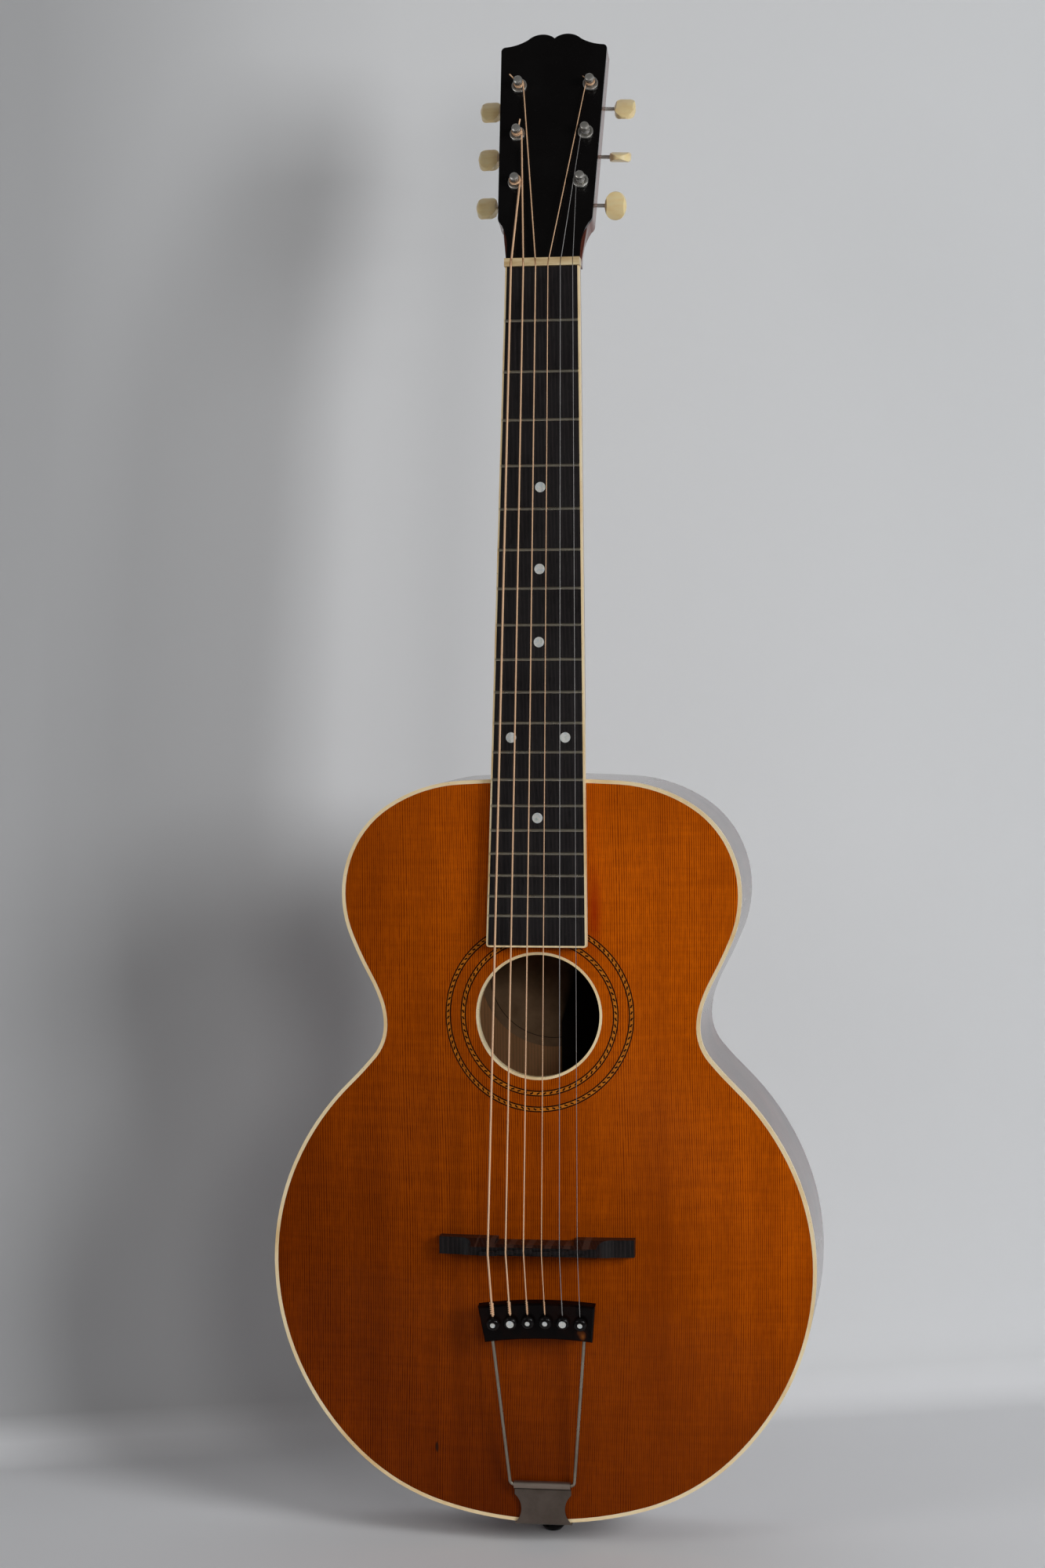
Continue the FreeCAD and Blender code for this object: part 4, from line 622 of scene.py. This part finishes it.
nickel = makeMetal("agedNickel")
bracketMetal = makeMetal("dullNickel")
steel = makeMetal("plainSteel")
wound = makeWoundString()
blackPin = makeBlackPin()
finishes = [
    (makeSpruce(), ["soundboard"]), (makeRosette(), ["rosette_rings"]), (makeClouded("boneNut"), ["nut"]),
    (makeEbony("ebonyBoard"), ["fingerboard"]), (makeEbony("ebonyBridge"), ["bridge"]),
    (makeVeneer(), ["headstock_veneer"]), (makeNeckWood(), ["neck"]),
    (makeClouded("tortoisePlastic"), ["tailpiece_block"]),
    (makeMaple(), ["back_plate", "rib_bass", "rib_treble"]),
    (makePaleWood(), ["linings", "neck_block", "tail_block", "top_braces"]),
    (makeClouded("creamBinding"), ["top_binding", "soundhole_binding", "fingerboard_binding"]),
    (makeMetal("warmWire"), ["tailpiece_wire"]), (bracketMetal, ["tailpiece_bracket", "tailpiece_screws"]),
    (makeMetal("fretWire"), ["frets"]), (makeClouded("pearl"), ["position_dots", "tailpiece_pin_eyes"]),
    (blackPin, ["tailpiece_pins", "end_pin"]), (wound, ["string_1", "string_2", "string_3", "string_4"]),
    (steel, ["string_5", "string_6"]), (nickel, ["tuner_plate_screws", "post_ferrules"]),
    (nickel, [node for node in cad if node.startswith(("tuner_post", "tuner_worm"))]),
    (nickel, ["tuner_plate_bass", "tuner_plate_treble"]),
    (makeClouded("ivoryButton"), [node for node in cad if node.startswith("tuner_button")]),
    (makeMetal("agedBrass"), [node for node in cad if node.startswith("tuner_gear")])]


def dress(piece, material):
    piece.data.materials.clear()
    piece.data.materials.append(material)


for material, nodes in finishes:
    for node in nodes:
        dress(cad[node], material)
print("dressed every piece of the frame")


# Places that the frame's own meshes give

def cornersOf(node):
    # The corners of a node's mesh, with those that share a place as one
    return [tuple(round(part, 7) for part in corner.co) for corner in cad[node].data.vertices]


def solidsOf(node):
    # The separate solids of a node, each as a list of its corners
    corners = cornersOf(node)
    leader = {corner: corner for corner in corners}

    def first(corner):
        while leader[corner] != corner:
            corner = leader[corner]
        return corner
    for face in cad[node].data.polygons:
        base = first(corners[face.vertices[0]])
        for index in face.vertices[1:]:
            leader[first(corners[index])] = base
    solids = {}
    for corner in leader:
        solids.setdefault(first(corner), []).append(Vector(corner))
    return list(solids.values())


def reachOf(solid, way):
    along = [corner.dot(way) for corner in solid]
    return min(along), max(along)


def topOf(solid, axis, side):
    # Where a round solid's axis comes out at its top
    top = axis * reachOf(solid, axis)[1]
    for way in (side, axis.cross(side)):
        top = top + way * sum(reachOf(solid, way)) / 2
    return top


def ringAbove(node, height, thick):
    # The first ring of a string's corners above a height: its middle and its radius
    above = [Vector(corner) for corner in set(cornersOf(node)) if corner[2] > height]
    low = min(corner.z for corner in above)
    ring = [corner for corner in above if corner.z < low + thick]
    middle = sum(ring, Vector()) / len(ring)
    return middle, max((corner - middle).length for corner in ring)


# Modelling helpers: each starts a primitive and shapes it in edit mode

def freshPick(piece=None):
    bpy.ops.object.select_all(action="DESELECT")
    if piece:
        bpy.context.view_layer.objects.active = piece
        piece.select_set(True)


def settle(piece):
    # Put the piece's place, turn and size into its mesh
    freshPick(piece)
    bpy.ops.object.transform_apply(location=True, rotation=True, scale=True)


def pickFaces(piece, test):
    bpy.ops.object.mode_set(mode="EDIT")
    bpy.ops.mesh.select_mode(type="FACE")
    bpy.ops.mesh.select_all(action="DESELECT")
    form = bmesh.from_edit_mesh(piece.data)
    for face in form.faces:
        face.select_set(test(face))
    bmesh.update_edit_mesh(piece.data)


def closeShape(piece, angle=35.0):
    bpy.ops.object.mode_set(mode="EDIT")
    bpy.ops.mesh.select_all(action="SELECT")
    bpy.ops.mesh.remove_doubles(threshold=1e-7)
    bpy.ops.mesh.normals_make_consistent(inside=False)
    bpy.ops.object.mode_set(mode="OBJECT")
    bpy.ops.object.shade_smooth_by_angle(angle=radians(angle))


def turnedPiece(name, rings, sides, material):
    # A stack of round steps: each ring is a radius and a height, in metres
    freshPick()
    (lowRadius, low), (radius, high) = rings[:2]
    bpy.ops.mesh.primitive_cylinder_add(vertices=sides, radius=lowRadius, depth=high - low,
                                        location=(0.0, 0.0, (low + high) / 2))
    piece = bpy.context.object
    piece.name = name
    settle(piece)
    pickFaces(piece, lambda face: face.normal.z > 0.9)
    grow = radius / lowRadius
    bpy.ops.transform.resize(value=(grow, grow, 1.0), center_override=(0.0, 0.0, high))
    for (before, low), (radius, high) in zip(rings[1:], rings[2:]):
        bpy.ops.mesh.extrude_region_move(TRANSFORM_OT_translate={"value": (0.0, 0.0, high - low)})
        grow = radius / before
        bpy.ops.transform.resize(value=(grow, grow, 1.0), center_override=(0.0, 0.0, high))
    bpy.ops.object.mode_set(mode="OBJECT")
    closeShape(piece)
    dress(piece, material)
    return piece


def spiralPiece(name, wire, coil, turns, rise, material):
    freshPick()
    bpy.ops.mesh.primitive_circle_add(vertices=8, radius=wire, location=(coil, 0.0, 0.0),
                                      rotation=(pi / 2, 0.0, 0.0))
    piece = bpy.context.object
    piece.name = name
    settle(piece)
    winder = piece.modifiers.new("winding", "SCREW")
    winder.angle = 2 * pi * turns
    winder.screw_offset = rise
    winder.steps = winder.render_steps = int(12 * turns)
    bpy.ops.object.modifier_apply(modifier="winding")
    bpy.ops.object.mode_set(mode="EDIT")
    bpy.ops.mesh.select_all(action="SELECT")
    bpy.ops.mesh.fill_holes(sides=0)
    bpy.ops.object.mode_set(mode="OBJECT")
    closeShape(piece, 60.0)
    dress(piece, material)
    return piece


def standing(place, up, side=(1.0, 0.0, 0.0)):
    # The matrix of a frame whose Z is up, at a place
    up = Vector(up).normalized()
    ahead = up.cross(Vector(side)).normalized()
    side = ahead.cross(up)
    return Matrix.Translation(Vector(place)) @ Matrix((side, ahead, up)).transposed().to_4x4()


def seatPiece(piece, matrix, body, name):
    piece.matrix_world = matrix
    settle(piece)
    piece.name = piece.data.name = name
    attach(piece, body)


def copyPiece(piece, name):
    twin = piece.copy()
    twin.data = piece.data.copy()
    twin.name = twin.data.name = name
    bpy.context.scene.collection.objects.link(twin)
    return twin


def seatCopies(model, places, body):
    # One copy for each named matrix; the model itself takes the last place
    *others, last = places
    pieces = {name: copyPiece(model, name) for name in others}
    pieces[last] = model
    for name, piece in pieces.items():
        seatPiece(piece, places[name], body if isinstance(body, str) else body[name], name)


# Tuner posts and ferrules

joints = {joint["name"]: joint for joint in frame["record"]["behaviour"]["joints"]}
tunerPlaces = [side + "_" + number for side in ("bass", "treble") for number in "123"]
postFrames = {place: standing(joints["post_turn_" + place]["pos_m"], joints["post_turn_" + place]["axis"],
                              joints["button_turn_" + place]["axis"]) for place in tunerPlaces}
postTop = {"rings": [(0.00296, 0.0212), (0.00296, 0.02255), (0.00272, 0.02305), (0.00205, 0.02335),
                     (0.00100, 0.02350), (0.00030, 0.02353)], "sides": 32}
bead = {"major": 0.00430, "minor": 0.00066, "height": 0.01555, "flatten": (1.02, 1.02, 0.6), "top": 0.55}


def makePostTops():
    model = turnedPiece("postTop", postTop["rings"], postTop["sides"], nickel)
    seatCopies(model, {"postTop_" + place: postFrames[place] for place in tunerPlaces},
               {"postTop_" + place: "post_" + place for place in tunerPlaces})


def makeBeads():
    freshPick()
    bpy.ops.mesh.primitive_torus_add(major_segments=40, minor_segments=12, major_radius=bead["major"],
                                     minor_radius=bead["minor"], location=(0.0, 0.0, bead["height"]))
    ring = bpy.context.object
    settle(ring)
    pickFaces(ring, lambda face: face.normal.z > bead["top"])
    bpy.ops.transform.resize(value=bead["flatten"], center_override=(0.0, 0.0, bead["height"]))
    bpy.ops.object.mode_set(mode="OBJECT")
    closeShape(ring, 60.0)
    dress(ring, nickel)
    seatCopies(ring, {"ferruleBead_" + place: postFrames[place] for place in tunerPlaces}, "guitar")


# Slotted heads on the screws of the plates and the bracket

screwHead = {"rings": [(0.00270, -0.0011), (0.00270, 0.0001), (0.00235, 0.00055), (0.00160, 0.00085),
                       (0.00060, 0.00097)], "sides": 28, "slot": (0.0060, 0.00062, 0.0012),
             "slotRise": 0.0011}
slotTurns = {"bass": (20.0, -50.0, 75.0, 5.0), "treble": (-30.0, 60.0, -12.0, 40.0),
             "bracket": (35.0, -20.0, 80.0)}


def makeSlottedHead(material):
    head = turnedPiece("screwHead", screwHead["rings"], screwHead["sides"], material)
    freshPick()
    bpy.ops.mesh.primitive_cube_add(size=1.0, location=(0.0, 0.0, screwHead["slotRise"]))
    cutter = bpy.context.object
    cutter.scale = screwHead["slot"]
    settle(cutter)
    freshPick(head)
    notch = head.modifiers.new("slot", "BOOLEAN")
    notch.operation = "DIFFERENCE"
    notch.object = cutter
    notch.solver = "EXACT"
    bpy.ops.object.modifier_apply(modifier="slot")
    bpy.data.objects.remove(cutter, do_unlink=True)
    return head


def seatHeads(name, solids, axis, turns, places):
    for number, (solid, turn) in enumerate(zip(solids, turns)):
        top = topOf(solid, axis, Vector((1.0, 0.0, 0.0)))
        places[name + str(number + 1)] = standing(top, axis) @ Matrix.Rotation(radians(turn), 4, "Z")


def makeScrewHeads():
    back = Vector(joints["post_turn_bass_1"]["axis"]) * -1
    screws = sorted(solidsOf("tuner_plate_screws"), key=lambda solid: solid[0].z)
    places = {}
    for side, sign in (("bass", -1), ("treble", 1)):
        beside = [solid for solid in screws if solid[0].x * sign > 0]
        seatHeads("plateScrewHead_" + side + "_", beside, back, slotTurns[side], places)
    seatCopies(makeSlottedHead(nickel), places, "guitar")
    screws = sorted(solidsOf("tailpiece_screws"), key=lambda solid: (solid[0].y > 0, solid[0].x))
    places = {}
    seatHeads("bracketScrewHead_", screws, Vector((0.0, 0.0, -1.0)), slotTurns["bracket"], places)
    seatCopies(makeSlottedHead(bracketMetal), places, "guitar")


# Tailpiece pins and the strings' ends: the block leans on its wire and sits a little askew

block = {"lean": radians(13.43), "askew": radians(1.3)}
blockOut = Vector((0.0, -cos(block["lean"]), -sin(block["lean"])))
blockUp = Vector((0.0, -sin(block["lean"]), cos(block["lean"])))
blockSide = Vector((cos(block["askew"]), 0.0, 0.0)) + blockUp * sin(block["askew"])
pins = {"stem": [(0.0025, -0.0119), (0.0025, -0.0031), (0.0032, -0.0030), (0.0041, -0.0027),
                 (0.00432, -0.0020), (0.00425, -0.0014), (0.0039, -0.0007), (0.0033, -0.0001)], "sides": 32,
        "lip": 0.00012, "lipRise": 0.0002, "lipDepth": 0.0005}
ends = {"above": 0.00436, "sunk": 0.0024, "start": 0.0016, "length": 0.0075, "turns": 5.5, "wireShare": 0.62,
        "coilShare": 0.7, "clear": 0.012, "ringThick": 0.0003}
eyes = sorted(solidsOf("tailpiece_pin_eyes"), key=lambda solid: solid[0].x)


def isWound(number):
    return number < 5


def stringLook(number):
    return (wound, "wound_string") if isWound(number) else (steel, "plain_string")


def makePins():
    for number, eye in enumerate(eyes, 1):
        low, high = reachOf(eye, blockSide)
        lip = (high - low) / 2 + pins["lip"]
        rings = pins["stem"] + [(lip, pins["lipRise"]), (lip - pins["lip"] * 2 / 3, -pins["lipDepth"])]
        pin = turnedPiece("stringPin", rings, pins["sides"], blackPin)
        seatPiece(pin, standing(topOf(eye, blockOut, blockSide), blockOut, blockSide), "guitar",
                  "stringPin_" + str(number))
        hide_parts("tailpiece_pins")


def makeTwists():
    ahead = blockOut.cross(blockSide) * -1
    for number, eye in enumerate(eyes, 1):
        material, slot = stringLook(number)
        top = topOf(eye, blockOut, blockSide)
        middle, radius = ringAbove("string_" + str(number), top.z + ends["clear"], ends["ringThick"])
        anchor = top - ahead * (ends["above"] + radius) + blockOut * (radius / 2 - ends["sunk"])
        way = (middle - anchor).normalized()
        wire = radius * ends["wireShare"]
        coil = radius + wire * ends["coilShare"]
        twist = spiralPiece("stringTwist", wire, coil, ends["turns"], ends["length"], material)
        seatPiece(twist, standing(anchor + way * ends["start"], way), "guitar",
                  "stringTwist_" + str(number))


# The cut ends of three strings on their posts, in each post's own frame

tails = {"bass_3": {"foot": (0.0016, -0.0012, 0.0192), "way": (0.62, -0.55, 0.42), "length": 0.0062,
                    "radius": 0.00042},
         "bass_2": {"foot": (-0.0010, -0.0022, 0.0188), "way": (-0.25, -0.80, 0.55), "length": 0.0058,
                    "radius": 0.0005},
         "treble_3": {"foot": (-0.0020, 0.0010, 0.0186), "way": (-0.75, 0.45, 0.30), "length": 0.0036,
                      "radius": 0.0003}}
tailShape = {"steps": ((1.0, 0.0), (1.0, 0.5), (0.95, 0.93), (0.6, 1.0)), "sides": 12,
             "side": (0.3, 0.4, 0.8)}


def makeTails():
    for place, tail in tails.items():
        rings = [(tail["radius"] * width, tail["length"] * height) for width, height in tailShape["steps"]]
        piece = turnedPiece("stringTail", rings, tailShape["sides"], wound)
        local = standing(tail["foot"], tail["way"], tailShape["side"])
        seatPiece(piece, postFrames[place] @ local, "guitar", "stringTail_" + place)


def makeStrings():
    # The frame's strings as smooth tubes: a copy of each mesh with its doubles merged
    for number in range(1, 7):
        node = "string_" + str(number)
        twin = copyPiece(cad[node], "smoothString_" + str(number))
        twin.parent = None
        freshPick(twin)
        bpy.ops.object.mode_set(mode="EDIT")
        bpy.ops.mesh.select_all(action="SELECT")
        bpy.ops.mesh.remove_doubles(threshold=1e-6)
        bpy.ops.object.mode_set(mode="OBJECT")
        bpy.ops.object.shade_smooth_by_angle(angle=radians(75.0))
        dress(twin, stringLook(number)[0])
        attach(twin, "guitar")
        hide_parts(node)


def makeLabel():
    freshPick()
    x, y, z = paper["middle"]
    bpy.ops.mesh.primitive_circle_add(vertices=paper["corners"], radius=paper["radius"], fill_type="NGON",
                                      rotation=(pi / 2, 0.0, 0.0), location=(x, y + paper["start"], z))
    sheet = bpy.context.object
    sheet.name = sheet.data.name = "paperLabel"
    settle(sheet)
    pickFaces(sheet, lambda face: True)
    for _ in range(paper["rings"]):
        bpy.ops.mesh.inset(thickness=paper["radius"] / (paper["rings"] + 1))
    bpy.ops.object.mode_set(mode="OBJECT")
    wrap = sheet.modifiers.new("glued", "SHRINKWRAP")
    wrap.target = cad["back_plate"]
    wrap.wrap_method = "PROJECT"
    wrap.use_project_y = True
    wrap.use_positive_direction = True
    wrap.use_negative_direction = False
    wrap.offset = paper["glue"]
    bpy.ops.object.modifier_apply(modifier="glued")
    body = sheet.modifiers.new("thickness", "SOLIDIFY")
    body.thickness = paper["thick"]
    bpy.ops.object.modifier_apply(modifier="thickness")
    closeShape(sheet, 50.0)
    dress(sheet, makePaper())
    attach(sheet, "guitar")


makePostTops()
makeBeads()
makeScrewHeads()
makePins()
makeTwists()
makeTails()
makeStrings()
makeLabel()
print("added the posts' tops, screws, pins, strings and label")


# The grey wall and floor behind, set at a slant to the guitar

sweep = {"floorHeight": -0.0165, "wide": 7.0, "front": 0.75, "wallPlace": 0.294, "wallHeight": 3.5,
         "bend": 0.05, "bendSteps": 12, "slant": 20.7, "near": 0.01, "reach": (-0.62, 0.42),
         # across: painted light, the paper darker towards the left and lighter towards the right
         "across": [(0.0, (0.52, 0.52, 0.53)), (0.23, (0.54, 0.54, 0.55)), (0.30, (0.63, 0.63, 0.64)),
                    (0.38, (0.75, 0.75, 0.76)), (0.46, (0.82, 0.82, 0.83)), (1.0, (0.81, 0.815, 0.83))],
         "paintedFloorLight": (0.93, 0.93, 0.95), "floorSpread": (0.012, -0.005, 0.0, 0.9),
         "mottle": (0.99, 0.99, 0.99), "mottleScale": 3.0}


def makeGreyPaper():
    material, tree, shader = newMaterial("greyPaper", Roughness=0.9, Specular_IOR_Level=0.1)
    x, y, z = split(tree, objectPlace(tree))[:3]
    # Painted light: the paper is darker towards the left and lighter towards the right, as the light falls
    # off from the right
    tone = ramp(tree, spread(tree, x, *sweep["reach"]), sweep["across"])
    # Painted light: the floor is lighter than the wall, as if more light falls on it from above
    tone = blendTones(tree, spread(tree, z, *sweep["floorSpread"]), tone, sweep["paintedFloorLight"])
    mottle = noise(tree, objectPlace(tree), scale=sweep["mottleScale"])
    fine = blendTones(tree, spread(tree, mottle, 0.3, 0.7), sweep["mottle"], (1.0, 1.0, 1.0))
    behind = addNode(tree, "ShaderNodeNewGeometry").outputs["Backfacing"]   # seen through from behind
    connect(tree, shader, Base_Color=blendTones(tree, 1.0, tone, fine, "MULTIPLY"),
            Alpha=sums(tree, "SUBTRACT", 1.0, behind))
    return material


def makeSweep():
    wall, low = sweep["wallPlace"], sweep["floorHeight"]
    freshPick()
    bpy.ops.mesh.primitive_plane_add(size=1.0, location=(0.0, wall - sweep["front"] / 2, low))
    paperRoll = bpy.context.object
    paperRoll.name = paperRoll.data.name = "paperSweep"
    paperRoll.scale = (sweep["wide"], sweep["front"], 1.0)
    settle(paperRoll)

    def pickEdge(test):
        bpy.ops.mesh.select_mode(type="EDGE")
        bpy.ops.mesh.select_all(action="DESELECT")
        form = bmesh.from_edit_mesh(paperRoll.data)
        for edge in form.edges:
            edge.select_set(all(test(corner.co) for corner in edge.verts))
        bmesh.update_edit_mesh(paperRoll.data)
    near = sweep["near"]
    bpy.ops.object.mode_set(mode="EDIT")
    pickEdge(lambda place: place.y > wall - near)
    bpy.ops.mesh.extrude_region_move(TRANSFORM_OT_translate={"value": (0.0, 0.0, sweep["wallHeight"])})
    pickEdge(lambda place: place.y > wall - near and place.z < low + near)
    bpy.ops.mesh.bevel(offset=sweep["bend"], segments=sweep["bendSteps"], affect="EDGES")
    bpy.ops.mesh.select_all(action="SELECT")
    bpy.ops.transform.rotate(value=-radians(sweep["slant"]), orient_axis="Z",
                             center_override=(0.0, wall, 0.0))
    bpy.ops.object.mode_set(mode="OBJECT")
    bpy.ops.object.shade_smooth_by_angle(angle=radians(60.0))
    dress(paperRoll, makeGreyPaper())


makeCamera()
makeLamps()
makeSweep()
bpy.context.scene.view_settings.view_transform = "Standard"
print("set the camera, the lamps and the paper sweep")
